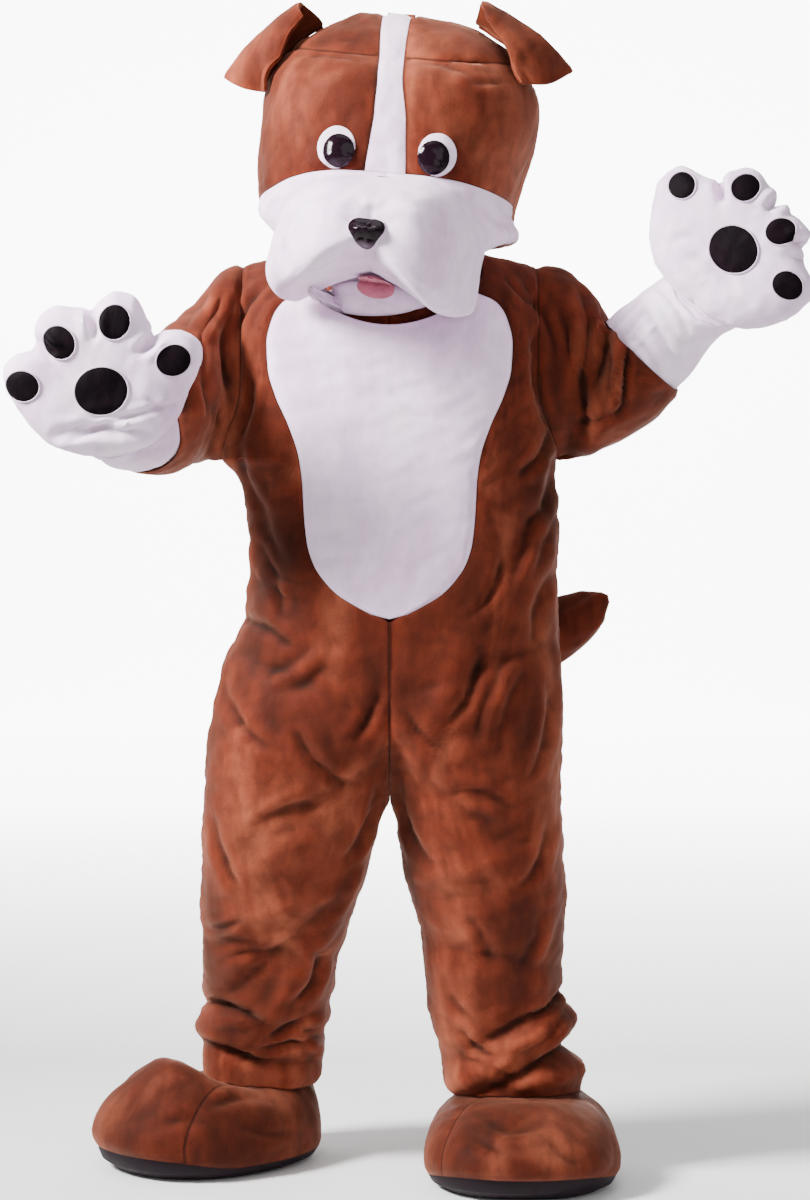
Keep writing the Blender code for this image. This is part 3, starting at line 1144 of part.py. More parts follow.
def main():
    clear_scene()
    plush = finish("brown_plush", (0.26, 0.055, 0.02), 0.75, 0.5)
    white = finish("white_plush", (0.80, 0.74, 0.80), 0.85, 0.3)
    eye_white = finish("eye_white_fabric", (0.88, 0.86, 0.88), 0.6)
    eye_black = finish("eye_black_gloss", (0.012, 0.006, 0.008), 0.12)
    nose_black = finish("nose_gloss", (0.02, 0.014, 0.018), 0.12)
    pink = finish("tongue_felt", (0.60, 0.26, 0.32), 0.8)
    pad_black = finish("black_pad_fabric", (0.012, 0.006, 0.009), 0.8, 0.2)
    sole_black = finish("black_sole", (0.012, 0.011, 0.012), 0.6)

    shell = build_head(plush, white)
    build_face(shell, plush, white, eye_black, eye_white, nose_black, pink)
    turn_head()
    uppers = [build_shoe(side_name, plush, sole_black) for side_name in SIDES]
    build_suit(plush, white, surface_of(sum(uppers, [])))
    backs = [bpy.data.objects["suit_back_" + side_name] for side_name in SIDES]
    build_placket(backs, plush)
    build_tail(backs, plush)
    for side_name in SIDES:
        build_mitt(side_name, white, pad_black)


main()
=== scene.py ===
"""Dog mascot costume: its looks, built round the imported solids, laid out as an add-on.

Each panel is cut again on the same lines as its solid, finer, with its pile, seams, folds and creases.
Metres, +Z up, the costume faces -Y, and "left" is the wearer's, at +X. The tables that in_metres
and folds_mm read are in millimetres.
"""

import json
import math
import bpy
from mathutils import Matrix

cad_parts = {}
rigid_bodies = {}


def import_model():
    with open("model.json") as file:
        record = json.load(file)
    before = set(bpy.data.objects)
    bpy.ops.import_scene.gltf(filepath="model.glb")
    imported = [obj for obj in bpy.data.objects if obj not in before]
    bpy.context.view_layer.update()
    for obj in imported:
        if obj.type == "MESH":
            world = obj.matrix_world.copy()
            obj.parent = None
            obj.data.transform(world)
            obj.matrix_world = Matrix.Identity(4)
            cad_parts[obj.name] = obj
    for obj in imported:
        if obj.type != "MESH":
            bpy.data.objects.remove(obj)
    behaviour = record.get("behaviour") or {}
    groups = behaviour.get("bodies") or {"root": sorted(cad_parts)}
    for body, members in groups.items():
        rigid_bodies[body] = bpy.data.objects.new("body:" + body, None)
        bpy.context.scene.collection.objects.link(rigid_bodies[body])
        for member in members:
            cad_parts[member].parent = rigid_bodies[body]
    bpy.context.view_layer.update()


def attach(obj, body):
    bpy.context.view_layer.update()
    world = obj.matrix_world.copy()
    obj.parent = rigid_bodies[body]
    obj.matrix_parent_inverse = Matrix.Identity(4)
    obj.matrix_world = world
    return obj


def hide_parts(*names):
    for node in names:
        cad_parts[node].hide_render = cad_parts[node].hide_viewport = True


bl_info = {
    "name": "Dog Mascot Costume",
    "version": (1, 0, 0),
    "blender": (4, 5, 0),
    "location": "View3D > Sidebar > Costume",
    "description": "Sews a plush dog costume: head, suit, paw mitts and shoe covers",
    "category": "Add Mesh",
}

import bmesh
import bpy
import numpy as np
from bpy.props import FloatProperty, FloatVectorProperty, PointerProperty
from mathutils import Vector
from mathutils.bvhtree import BVHTree

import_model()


def rows_every(values, step):
    """The values of a table with steps no larger than this between them."""
    rows = [values[0]]
    for low, high in zip(values, values[1:]):
        count = max(1, math.ceil(abs(high - low) / step - 1e-6))
        rows += [low + (high - low) * k / count for k in range(1, count)]
        rows.append(high)
    return rows


def in_metres(table):
    """The same table with its millimetres in metres."""
    if isinstance(table, dict):
        return {key: in_metres(value) for key, value in table.items()}
    return [in_metres(value) for value in table] if isinstance(table, (list, tuple)) else table / 1000


def folds_mm(face, rows):
    """Rows of millimetres in metres, with the face that they lie on as their last column."""
    return [(*in_metres(row), face) for row in rows]


# Driving dimensions.
FLOOR_Z = -1.49
PLUSH = 0.0022
MITT_CLOTH = 0.0025
HEAD_FOAM = 0.007
SHOE_WALL = 0.005
SEAM_GAP = 0.0003
SQUARENESS = 2.3

ARMPIT_Z = -0.350
SHOULDER_Z = -0.045
ARMHOLE_X = 0.233
ARMPIT_X = 0.264
# How far above the armpit the armhole reaches its own width.
ARMHOLE_EASE = 0.11
NECK_X = 0.142
NECK_Z = -0.020
SHOULDER_SLOPE = (NECK_Z - SHOULDER_Z) / (ARMHOLE_X - NECK_X)
CHEST_TOP_Z = -0.200
NECK_DOME = 0.040
BACK_NECK_Z = -0.0350
BIB_TOP = 0.85
BIB_TOP_Z = -0.090
BIB_DIP = 0.053
BIB_BOTTOM_Z = -0.590
BIB_POINT = 0.007
# Where the bib's rows start to bend to the neckline's scoop and to its point, and over how much height.
SCOOP = {"from_z": -0.27, "over": 0.18}
POINT = {"from_z": -0.571, "over": 0.019, "closes_over": 0.012}
HIP_Z = -0.620
CROTCH_Z = -0.876
CROTCH_SPREAD = 0.040
LEG_END_Z = -1.352
CLOTH_STEP = 0.0065
# A point inside the left leg; the right leg's is its mirror image.
INSIDE_LEG = np.array([0.12, 0.0, -0.6])

BIB_COLUMNS = 24
PANEL_COLUMNS = 48
SLEEVE_ROWS = 36

LEFT, RIGHT = 1, -1
SIDES = {"left": LEFT, "right": RIGHT}

# Half width of the suit at its side seam, and of the gap between the legs.
SUIT_WIDTHS = in_metres({
    "z": [-1372, -1300, -1200, -1100, -1035, -972, -876, -800, -717, -653, -600, -526, -430, -366, -350],
    "left": [314, 292, 274, 275, 277, 272, 268, 270, 272, 269, 266, 264, 263, 264, 264],
    "right": [306, 306, 303, 302, 299, 296, 292, 287, 272, 256, 228, 219, 226, 245, 264],
})
LEG_GAPS = in_metres({
    "z": [-1372, -1330, -1260, -1200, -1100, -1035, -972, -930, -876],
    "left": [105, 90, 72, 62, 50, 33, 20, 12, 0],
    "right": [127, 113, 106, 96, 68, 50, 31, 18, 0],
})
SUIT_DEPTHS = in_metres({
    "z": [-1372, -1300, -1200, -1100, -980, -876, -800, -700, -600, -450, -350, -200, 30],
    "front": [98, 102, 110, 120, 132, 146, 158, 168, 166, 156, 160, 160, 150],
    "back": [92, 98, 110, 120, 136, 156, 172, 176, 160, 140, 145, 150, 140],
})
HEM_GAP = 0.0012
HEM_REACH = 0.016
HEM_SEARCH = 0.05
ANKLE_Y = {"left": 0.070, "right": 0.165}
BIB_WIDTHS = in_metres({
    "z": [-590, -580, -560, -540, -515, -480, -430, -390, -350, -300, -250, -210, -170, -130, -105, -90],
    "half": [28, 47, 80, 100, 117, 128, 133, 135, 140, 156, 178, 189, 191, 182, 165, 131],
})
# How far up the armhole each upper row starts, from the armpit to the shoulder seam.
ARMHOLE_STEPS = rows_every([0, 0.1, 0.22, 0.34, 0.46, 0.58, 0.69, 0.78, 0.85, 0.92, 1], 0.022)
BIB_ROWS = rows_every([ARMPIT_Z, -0.390, -0.440, -0.485, -0.520, -0.548, -0.571, BIB_BOTTOM_Z],
                      CLOTH_STEP)[1:]
HIP_ROWS = rows_every([BIB_BOTTOM_Z, -0.602, -0.650, -0.705, -0.760, -0.810, -0.847, -0.868, CROTCH_Z],
                      CLOTH_STEP)[1:]
LEG_ROWS = rows_every([CROTCH_Z, -0.895, -0.940, -1.000, -1.055, -1.100, -1.135, LEG_END_Z], CLOTH_STEP)[1:]

# The sleeve's own section at the armhole, and over how many sections the armhole's points give way to it.
ARMHOLE_SECTION = {"aside": 0.012, "half_tall": 0.1525, "half_deep": 0.08}
ARMHOLE_BLEND = 2.5
# Sections of the sleeves: centre, half height (u) from underside to top, half depth (v) to the front.
SLEEVE_SECTIONS = in_metres({
    "left": [
        # x, y, z, ux, uy, uz, vx, vy, vz
        (281, -4, -196, -9, 0, 144, 0, -86, 0),
        (315, -12, -205, -10, 0, 130, -6, -90, 0),
        (347, -26, -209, -19, 0, 109, -14, -90, 0),
        (374, -42, -203, -36, 0, 85, -18, -86, 0),
        (386, -52, -195, -48, 0, 68, -18, -80, 0),
        (397, -60, -186, -56, 0, 56, -18, -76, 0),
    ],
    "right": [
        (-272, -12, -200, 4, 0, 142, 15, -86, 0),
        (-302, -42, -224, 6, -4, 128, 40, -78, 0),
        (-330, -86, -250, 4, -16, 112, 60, -64, 0),
        (-352, -130, -272, 0, -26, 100, 73, -48, 0),
        (-368, -165, -285, -2, -29, 88, 75, -42, 0),
        (-381, -195, -293, -4, -29, 78, 73, -40, 0),
    ],
})

# Folds of each face: a line in the front projection, its width, how far it stands out or in.
FRONT, BACK, ROUND = -1, 1, 0
FOLDS = folds_mm(FRONT, [
    # x0, z0, x1, z1, width, depth
    (338, -147, 292, -298, 16, -22), (271, -137, 290, -207, 12, -9), (360, -190, 330, -300, 14, 10),
    (-252, -72, -295, -175, 14, 10), (-264, -178, -247, -252, 12, -12), (-310, -150, -300, -300, 16, -12),
    (250, -400, 170, -520, 16, -8), (260, -470, 180, -590, 16, 8), (-215, -400, -160, -560, 16, -8),
    (-220, -560, -90, -650, 18, 9), (-250, -640, -60, -730, 20, -10), (240, -640, 60, -700, 20, -8),
    (120, -620, 50, -800, 18, 9), (-30, -830, -200, -940, 20, -12), (35, -840, 180, -930, 20, -10),
    (60, -1000, 230, -960, 20, 8), (-70, -1020, -250, -1080, 20, 9), (60, -1110, 250, -1150, 18, -9),
    (-100, -1150, -300, -1105, 18, -9), (130, -1330, 300, -1235, 17, 14),
    (150, -1350, 290, -1282, 11, -13), (120, -1290, 260, -1200, 13, -10),
    (-300, -1252, -175, -1222, 16, 12), (-190, -1232, -95, -1075, 16, 14),
    (-255, -1205, -130, -1080, 14, -9), (-300, -1302, -165, -1322, 11, -11),
]) + folds_mm(BACK, [
    (262, -110, 258, -250, 10, -8), (-300, -130, -280, -290, 14, -10), (70, -1230, 260, -1260, 16, 12),
    (80, -1285, 280, -1300, 13, -10), (-90, -1205, -290, -1225, 16, 11),
    (-110, -1280, -300, -1262, 13, -10), (-150, -420, 120, -480, 22, -10),
    (200, -560, -100, -610, 22, -10), (-220, -800, -50, -900, 20, -12), (220, -790, 50, -900, 20, -12),
    (80, -1010, 240, -1040, 20, 10), (-80, -1000, -260, -1050, 20, 10),
]) + folds_mm(ROUND, [
    (255, -1250, 300, -1238, 17, 13), (245, -1292, 300, -1286, 12, -13), (235, -1330, 320, -1328, 14, 15),
    (-310, -1275, -255, -1275, 19, 12), (-310, -1234, -255, -1230, 11, -12),
    (-130, -1250, -95, -1262, 12, 7),
])

# Head, in its own upright frame: rows from the neck to the top of the crown.
HEAD_LEVELS = in_metres({
    "front_z": [-150, -120, -86, -45, 0, 45, 85, 137, 187, 232, 268, 316, 345, 354],
    "side_z": [-55, -16, 6, 14, 21, 28, 38, 90, 155, 222, 282, 322, 345, 354],
    "back_z": [-60, -20, 10, 26, 44, 66, 92, 138, 184, 234, 285, 322, 345, 354],
    "half": [110, 115, 152, 190, 206, 211, 213.5, 219.5, 221.5, 216, 186, 136, 78, 0],
    "front": [134, 144, 158, 176, 191, 200, 203, 203, 199, 188, 156, 113, 64, 0],
    "back": [78, 83, 112, 146, 174, 190, 199, 205, 207, 200, 171, 126, 74, 0],
    "left_lift": [0, 0, 0, 4, 12, 22, 30, 22, 10, 3, 0, 0, 0, 0],
    "blaze": [31, 31, 31, 31, 31, 31, 31, 27, 23, 19, 19, 21, 22, 22],
})
HEAD_LEVELS["left_share"] = [1.0, 1.0, 1.0, 1.0, 0.9, 0.86, 0.86, 0.88, 0.93, 0.965, 0.97, 0.98, 1.0, 1.0]
TOP_LEVEL = 13
HEAD_ROWS = {"jaw": rows_every([0, 1], 0.16), "cheek": rows_every([1, 6], 0.16),
             "face": rows_every([6, 10], 0.125), "crown": rows_every([10, TOP_LEVEL], 0.15)}
HEAD_CORE = np.array([0.0, 0.0, 0.15])
HEAD_SQUARENESS = 2.6
HEAD_FRONT_COLUMNS, HEAD_BACK_COLUMNS, STRIPE_COLUMNS = 44, 30, 11
# Below the stripe the panels go on to the mid plane, in steps at these shares of its half width.
TO_MIDDLE = (0.8, 0.6, 0.4, 0.2, 0.0)
HEAD_PIVOT = np.array([0.0, 0.0, -0.080])
HEAD_ROLL = math.radians(5.0)
HEAD_YAW = math.radians(6.0)
# The turn fades out down the neck, but not in front of it, where the jaw is.
NECK_TURN = {"from_z": -0.12, "over": 0.14, "jaw_y": -0.14, "jaw_over": 0.10}
STRIPE_END_GAP = 0.0008
# The white stripe leans aside between two heights, and the panels beside it and above it give way.
STRIPE_LEAN = {"aside": 0.020, "from_z": 0.170, "to_z": 0.350, "half_wide": 0.110, "back_y": 0.100,
               "fade": 0.100}
AHEAD = (0, -1, 0)
HEAD_BUMPS = [
    # x, z, width, height: fullness of the cheeks and brow
    (0.180, -0.015, 0.045, 0.014),
    (-0.180, -0.015, 0.045, 0.014),
]

# Face pieces, in the head's frame: x, z.
MUZZLE_OUTLINE = in_metres({
    "x": [0, 50, 92, 126, 149, 162, 165, 160, 147, 126, 96, 52, 0],
    "z": [70, 67, 57, 36, 6, -28, -62, -92, -110, -114, -102, -83, -68],
})
# The muzzle's loose lower edge hangs to one side, and its left jowl hangs lower.
MUZZLE_SAG = {"aside": 0.010, "left_aside": 0.008, "left_drop": 0.017, "over": 0.10, "half_wide": 0.12}
MUZZLE_MIDDLE = (-0.006, -0.014)
MUZZLE_DEPTH = 0.128
MUZZLE_RIM, FLUSH_RIM = 0.010, 0.002
# Below this height the edge comes loose; above it the muzzle is wider and higher, flush with the face.
MUZZLE_LOOSE = {"from_z": 0.036, "over": 0.09}
MUZZLE_FLUSH = {"wider": 0.07, "higher": 0.009}
MUZZLE_FRONT_Y = {"middle": -0.205, "rim_back": 0.02}
JOWL = {"x": 0.085, "width": 0.05, "depth": 0.022}
MUZZLE_GAP = 0.0025
MUZZLE_BACK_Y = -0.176
EYE = {"x": 0.0775, "z": 0.118, "half_wide": 0.0300, "half_tall": 0.0325, "rise": 0.0035}
PUPIL = {"x": 0.0720, "z": 0.1120, "half_wide": 0.0245, "half_tall": 0.0255, "rise": 0.0075}
NOSE = {"x": -0.004, "z": -0.018, "half_wide": 0.026, "half_tall": 0.022, "rise": 0.020}
CHIN = {"x": -0.024, "z": -0.104, "half_wide": 0.081, "half_tall": 0.0255, "rise": 0.018}
TONGUE = {"x": -0.009, "z": -0.089, "half_wide": 0.028, "half_tall": 0.016, "rise": 0.007}
LAID_GAP = 0.0006
LARGEST_LIFT = 0.006
# A ray that slips between two faces starts again this far aside.
BESIDE_EDGE = 0.0002

# Ears: sections from the root over the fold to the free edge; each has its inner end and its outer end.
EAR_SECTIONS = in_metres({
    "left": [
        # inner x, y, z, outer x, y, z
        (96, -15, 322, 160, -15, 262),
        (104, -30, 354, 218, -30, 282),
        (112, -56, 381, 265, -56, 282),
        (116, -86, 369, 230, -96, 254),
        (124, -98, 346, 182, -112, 246),
    ],
    "right": [
        (-126, -15, 308, -196, -15, 226),
        (-148, -30, 341, -248, -30, 236),
        (-173, -56, 358, -288, -56, 232),
        (-172, -88, 346, -246, -92, 211),
        (-162, -100, 330, -202, -104, 205),
    ],
})
EAR_CLOTH = 0.003
EAR_LINING = 0.0024
EAR_ROOT_GAP = 0.0018
EAR_CLEAR = 0.013
EAR_SWELL, EAR_SWELL_WAY = 0.020, (0.3, -0.6, 0.7)
EAR_MIDDLE = np.array([0.14, -0.045, 0.25])
EAR_ROWS, EAR_COLUMNS = 36, 22

# Mitts: each paw's outline about the middle of the palm. Angles run from its axis towards the thumb.
PAW_OUTLINES = {
    "right": {
        "angle": [-180, -149, -120, -101, -84, -68, -58, -51, -44, -36, -23, -10, 0, 9, 18, 28, 36, 44,
                  50, 56, 64, 75, 90, 102, 125, 151, 180],
        "radius": in_metres([98, 104, 114, 124, 138, 150, 138, 114, 122, 136, 143, 130, 120, 132, 147, 146,
                             134, 119, 112, 126, 148, 160, 142, 126, 117, 106, 98]),
    },
    "left": {
        "angle": [-180, -160, -137, -108, -92, -78, -66, -56, -44, -31, -20, -10, 4, 18, 27, 36, 46, 58,
                  66, 76, 86, 96, 108, 119, 137, 158, 180],
        "radius": in_metres([98, 106, 113, 122, 129, 131, 114, 96, 104, 111, 106, 98, 102, 114, 130, 136,
                             130, 118, 134, 170, 172, 162, 150, 143, 128, 110, 98]),
    },
}
MITT_POINTS = 132
MITTS = {
    # middle of the palm, its middle axis, the way it faces; the thumb's side; the wrist hole and its radius
    "right": {"palm": (-0.424, -0.325, -0.249), "up": (-0.17, -0.10, 0.98), "faces": (0.03, -0.99, -0.10),
              "turn": 1, "hole": (-0.052, -0.046), "hole_tilt": 0.45, "wrist": 0.0600},
    "left": {"palm": (0.536, -0.175, -0.037), "up": (0.69, 0.06, 0.72), "faces": (-0.28, -0.95, 0.10),
             "turn": -1, "hole": (-0.066, -0.040), "hole_tilt": 0.95, "wrist": 0.067},
}
PALM_RISE, BACK_RISE = 0.042, 0.050
WRIST_SEARCH = 0.116
GAUNTLETS = {
    # centres of the rings from the hole to the end inside the sleeve, and their radii
    "right": {"x": [-0.404, -0.392, -0.380], "y": [-0.238, -0.212, -0.172], "z": [-0.303, -0.300, -0.290],
              "radius": [0.062, 0.070, 0.076]},
    "left": {"x": [0.456, 0.427, 0.380], "y": [-0.098, -0.076, -0.0550], "z": [-0.124, -0.156, -0.2035],
             "radius": [0.065, 0.072, 0.0760]},
}
CUFF_PLAY = {"left": 0.0021, "right": 0.0008}
CUFF_CREASE_ROOM = 0.0012
PALM_ROWS, MITT_BACK_ROWS, GAUNTLET_ROWS = 30, 26, 34
# How far before and after a place on a path its way is measured, in the path's steps.
PATH_STEP = 0.3
PALM_PAD = {"wide": 0.040, "tall": 0.036}
TOE_PADS = {
    # one column for each pad: its angle and how far out it is; then their half width and height
    "right": {"angle": [77, 21, -31, -77], "out": [0.115, 0.103, 0.094, 0.117], "half": (0.0235, 0.0262)},
    "left": {"angle": [80, 32, -28, -83], "out": [0.133, 0.098, 0.076, 0.099], "half": (0.0215, 0.0235)},
}
PAD_RISE, PAD_EDGING_RISE = 0.004, 0.0011

# Shoe covers, placed from the trouser hems: turn from straight ahead towards -X, the first seam, the step
# aside from the hem and how far the toe stands up.
SHOES = {
    "left": {"heading": 2, "seam": -48, "aside": 0.010, "toe_rise": 0.018},
    "right": {"heading": 52, "seam": 48, "aside": -0.006, "toe_rise": 0.066},
}
SHOE_HALF_LENGTH, SHOE_HALF_WIDTH = 0.188, 0.149
SOLE_INSET = 0.985
SHOE_TOP = 0.126
ANKLE_COLLAR = 0.030
ANKLE_BACK, ANKLE_RADIUS = 0.092, 0.073
TOE_SPRING, SIDE_SPRING = 0.038, 0.020
# The toe's fullness, in shares of the half length and half width; and how far the upper overhangs its welt.
TOE = {"ahead": 0.50, "length": 0.46, "width": 0.8, "blends_over": 0.3}
OVERHANG, LARGEST_OVERHANG = 1.15, 1.05
SOLE_THICKNESS = 0.012
# How far up the welt the sole's under side stands, by the share of the way from its middle to its rim.
SOLE_LEVELS, SOLE_RISE = (0, 0.6, 0.86, 0.97, 1.0), (0, 0, 0.10, 0.45, 0.80)
COLLAR_ROWS, SHOE_ROWS, SOLE_ROWS = 6, 34, 26
SHOE_POINTS = 110

TAIL_PATH = in_metres({
    "x": [30, 58, 140, 245, 325, 360],
    "y": [176, 240, 272, 275, 262, 255],
    "z": [-690, -690, -680, -648, -602, -576],
    "radius": [56, 60, 62, 58, 38, 12],
})
TAIL_POINTS, TAIL_ROWS = 44, 90
TAIL_ROOT_ROWS = 10
TAIL_TIP = 0.006
# The tail is a little flatter than round, and its root's rows stand this far apart on the suit.
TAIL_FLAT, TAIL_ROOT_STEP = 0.85, 0.0015
TAIL_GAP = 0.0016
PLACKET_COLUMNS, PLACKET_ROWS = 9, 120
PLACKET_HALF_WIDTH, PLACKET_TOP_Z, PLACKET_BOTTOM_Z, PLACKET_CLOTH = 0.020, -0.075, -0.640, 0.0015

# The finish of the cloth: pile, seams, creases.
PILE, MITT_PILE = 0.0030, 0.0016
SEAM_WIDTH = 0.0070
HEM_BLEND = 0.055
# Radius of the cords round the pads' edges and of the white ring round the nose, a painted highlight.
RIM_CORD_RADIUS = 0.0012
MUZZLE_RINGS, MUZZLE_TURN = 30, 61
LAID_POINTS, LAID_RINGS = 56, 9
TUBE_SIDES = 8
# Width of the painted shade along the seams, and of the ears' pile dipping to their edges.
STITCH_WIDTH = 0.004
# The lengths of the waves in the cloth, and the share of them that the gathers beside a seam have.
DIMPLE_LENGTHS = (0.095, 0.070, 0.052, 0.040, 0.031, 0.026, 0.021)
GATHER_SIZE = 0.28
MUZZLE_DIMPLE, EAR_DIMPLE, TAIL_DIMPLE = 0.0016, 0.0030, 0.0035
# How fast a fold fades where the cloth turns away, and the length over which one round the body ends.
FACE_EDGE, ROUND_END = 1.2, 0.05
SMALLEST_AREA_SHARE = 0.301
DOUBLED = 2e-6
SHARP_ANGLE = math.radians(60)

# Creases of each face: a bowed line in the front projection, its width, how far it stands out or in.
CREASES = folds_mm(FRONT, [
    # x0, z0, x1, z1, bow, width, depth
    (205, -75, 262, -200, 12, 7, -5), (178, -60, 240, -120, -8, 6, -4), (225, -150, 247, -300, -10, 8, -6),
    (250, -300, 195, -380, 10, 8, -5), (255, -340, 215, -460, 14, 9, -6), (236, -420, 190, -560, 10, 9, 5),
    (262, -520, 225, -640, -12, 9, -5.5), (175, -500, 120, -600, 12, 8, -4),
    (-185, -70, -245, -170, -10, 7, -5), (-215, -210, -244, -330, 10, 8, -6),
    (-235, -330, -195, -430, -10, 8, -5.5), (-220, -470, -165, -600, 12, 9, -5.5),
    (-205, -520, -130, -560, -6, 7, 4), (-240, -600, -150, -640, 8, 9, -4.5),
    (300, -80, 285, -260, 14, 8, -7), (322, -110, 312, -320, -12, 8, -8), (352, -150, 338, -300, 10, 7, 6),
    (372, -170, 366, -270, -6, 6, -6), (288, -290, 372, -262, -10, 7, -5),
    (-262, -80, -300, -160, 10, 7, -6), (-285, -120, -268, -300, -12, 8, -8),
    (-312, -170, -322, -330, 10, 8, -7), (-340, -200, -330, -350, -8, 7, 6),
    (10, -600, 14, -700, 3, 6, -3), (-12, -690, -60, -790, 6, 8, -4.5), (20, -730, 85, -800, -8, 8, -4.5),
    (140, -640, 85, -760, 14, 10, -5.5), (200, -660, 150, -800, -12, 10, 5.5),
    (250, -700, 215, -850, 12, 9, -6), (-100, -640, -190, -700, 12, 10, 5),
    (-262, -700, -180, -800, -14, 10, -5.5), (-150, -760, -60, -860, -10, 9, -6),
    (12, -850, 70, -985, -14, 9, -7), (-18, -850, -75, -980, 14, 9, -7),
    (100, -860, 200, -900, 10, 10, -5), (-110, -880, -220, -930, -10, 10, -5),
    (250, -900, 205, -1020, 10, 9, -5.5), (-275, -900, -230, -1030, -10, 9, -5.5),
    (110, -1050, 160, -1150, 10, 10, -3.5), (250, -1060, 215, -1150, 8, 8, 4),
    (290, -1180, 215, -1228, 10, 7, -8), (95, -1190, 140, -1240, -6, 8, -3),
    (275, -1235, 190, -1290, 10, 7, -7), (110, -1250, 180, -1300, -8, 7, -5),
    (120, -1300, 200, -1330, 6, 6, -5), (-295, -1095, -230, -1070, -6, 7, -4.5),
    (-275, -1150, -195, -1128, 6, 7, -4), (-118, -1120, -150, -1215, 16, 8, -7.5),
    (-300, -1290, -205, -1326, 8, 7, -6), (-108, -1288, -215, -1300, -6, 6, -5.5),
    (-165, -1262, -112, -1325, 6, 7, 5), (-295, -1220, -190, -1262, 10, 8, -7),
    (-115, -1240, -200, -1285, -8, 7, -5),
]) + folds_mm(BACK, [
    (300, -90, 340, -180, 12, 8, -5), (330, -160, 310, -300, 10, 8, -6),
    (-300, -80, -340, -200, 12, 8, -6), (-320, -200, -290, -320, 10, 8, -6),
    (-30, -120, -120, -220, 10, 11, -5), (40, -110, 130, -230, -10, 11, -5),
    (-230, -250, -120, -360, 14, 10, -6), (235, -260, 110, -370, -14, 10, -6),
    (-200, -500, -50, -540, 10, 11, -6), (215, -480, 60, -545, 12, 11, -6),
    (180, -640, 90, -780, -12, 10, -5.5), (-190, -620, -80, -760, 12, 10, -5.5),
    (20, -800, 110, -870, 8, 9, -6), (-20, -800, -120, -860, -8, 9, -6),
    (230, -930, 110, -985, 10, 10, -5.5), (-240, -940, -110, -1000, -10, 10, -5.5),
    (90, -1090, 240, -1130, 12, 9, -7), (-110, -1100, -260, -1140, -12, 9, -7),
    (110, -1180, 250, -1215, 10, 8, -7), (-130, -1200, -270, -1170, 10, 8, -7),
])

# Creases of the head, in its own frame; the same columns.
HEAD_CREASES = folds_mm(FRONT, [
    (-165, 262, -45, 250, 6, 5, -2.2), (60, 262, 150, 268, 6, 5, -2.2), (-110, 292, -50, 296, -4, 5, -2),
    (45, 262, 120, 240, 8, 6, -2.6), (105, 236, 175, 248, -4, 6, -2.2), (-150, 180, -120, 110, 6, 8, -2),
    (160, 200, 130, 120, -6, 8, -2), (-110, 80, -40, 88, 6, 6, -2.4), (40, 88, 120, 70, 6, 6, -2.4),
    (-200, 30, -140, 60, 8, 7, -3), (200, 20, 140, 56, 8, 7, -3),
]) + folds_mm(BACK, [
    (-120, 240, -20, 255, 8, 7, -2.5), (130, 240, 30, 225, 8, 7, -2.5), (-150, 60, -40, 40, 8, 8, -3),
    (150, 70, 30, 55, -8, 8, -3),
])

# Creases and fullness of the muzzle, in the head's frame: the same columns.
MUZZLE_CREASES = folds_mm(FRONT, [
    (0, -40, 2, -82, 2, 9, -6), (-6, -38, -34, -60, 4, 8, -2.8), (6, -38, 32, -56, -4, 8, -2.8),
    (-30, 50, -120, 30, 6, 8, -5), (40, 50, 130, 20, -6, 8, -5), (-150, -20, -128, -90, 8, 8, -7),
    (152, -20, 130, -90, -8, 8, -7), (-60, -92, -120, -100, 6, 7, -4), (60, -92, 110, -104, -6, 7, -4),
    (-20, 30, 20, 34, -4, 7, 3),
])

# Creases of the mitts' gauntlets: the same columns.
MITT_CREASES = folds_mm(FRONT, [
    (-478, -330, -296, -268, 6, 5, -3.5), (-455, -352, -330, -330, -4, 6, -3),
    (412, -82, 462, -158, 5, 6, -4.5), (396, -118, 448, -196, -5, 6, -5), (378, -160, 424, -222, 4, 6, -4),
    (436, -88, 486, -142, -4, 6, -3.5),
]) + folds_mm(BACK, [
    (400, -150, 450, -130, 4, 6, -3), (-440, -290, -370, -320, 4, 6, -3),
])

# Valleys between the toes, in the palm's plane: across and up at both ends, bow, width, depth.
PAW_CREASES = folds_mm(FRONT, [
    (-56, 62, -80, 92, 2, 8, -10), (4, 76, 10, 122, 2, 8, -10), (62, 44, 98, 72, -2, 8, -10),
    (-50, -44, 50, -48, 6, 8, -3), (60, -20, 88, -60, 4, 7, -2.5),
]) + folds_mm(BACK, [
    (-56, 52, -84, 96, 2, 10, -9), (4, 60, 12, 124, 2, 10, -9), (62, 40, 102, 74, -2, 10, -9),
    (-40, 0, 50, 10, 6, 10, -4),
])

# The folds across the heel of each paw: the same columns.
HEEL_CREASES = {
    "left": [],
    "right": folds_mm(FRONT, [
        (66, -76, -90, -52, -6, 7.5, -8), (20, -60, -85, -40, -4, 6, -3),
    ]),
}

# Creases of the shoe covers: the same columns as the suit's.
SHOE_CREASES = folds_mm(FRONT, [
    (130, -1372, 250, -1372, -12, 7, -4), (110, -1395, 180, -1420, 6, 8, -3.5),
    (240, -1390, 300, -1430, -8, 8, -4), (-300, -1378, -180, -1380, 10, 7, -4),
    (-360, -1395, -280, -1400, 8, 8, -4), (-240, -1400, -160, -1430, -6, 8, -3.5),
]) + folds_mm(BACK, [
    (120, -1400, 220, -1420, 8, 9, -3.5), (-200, -1400, -300, -1420, 8, 9, -3.5),
])

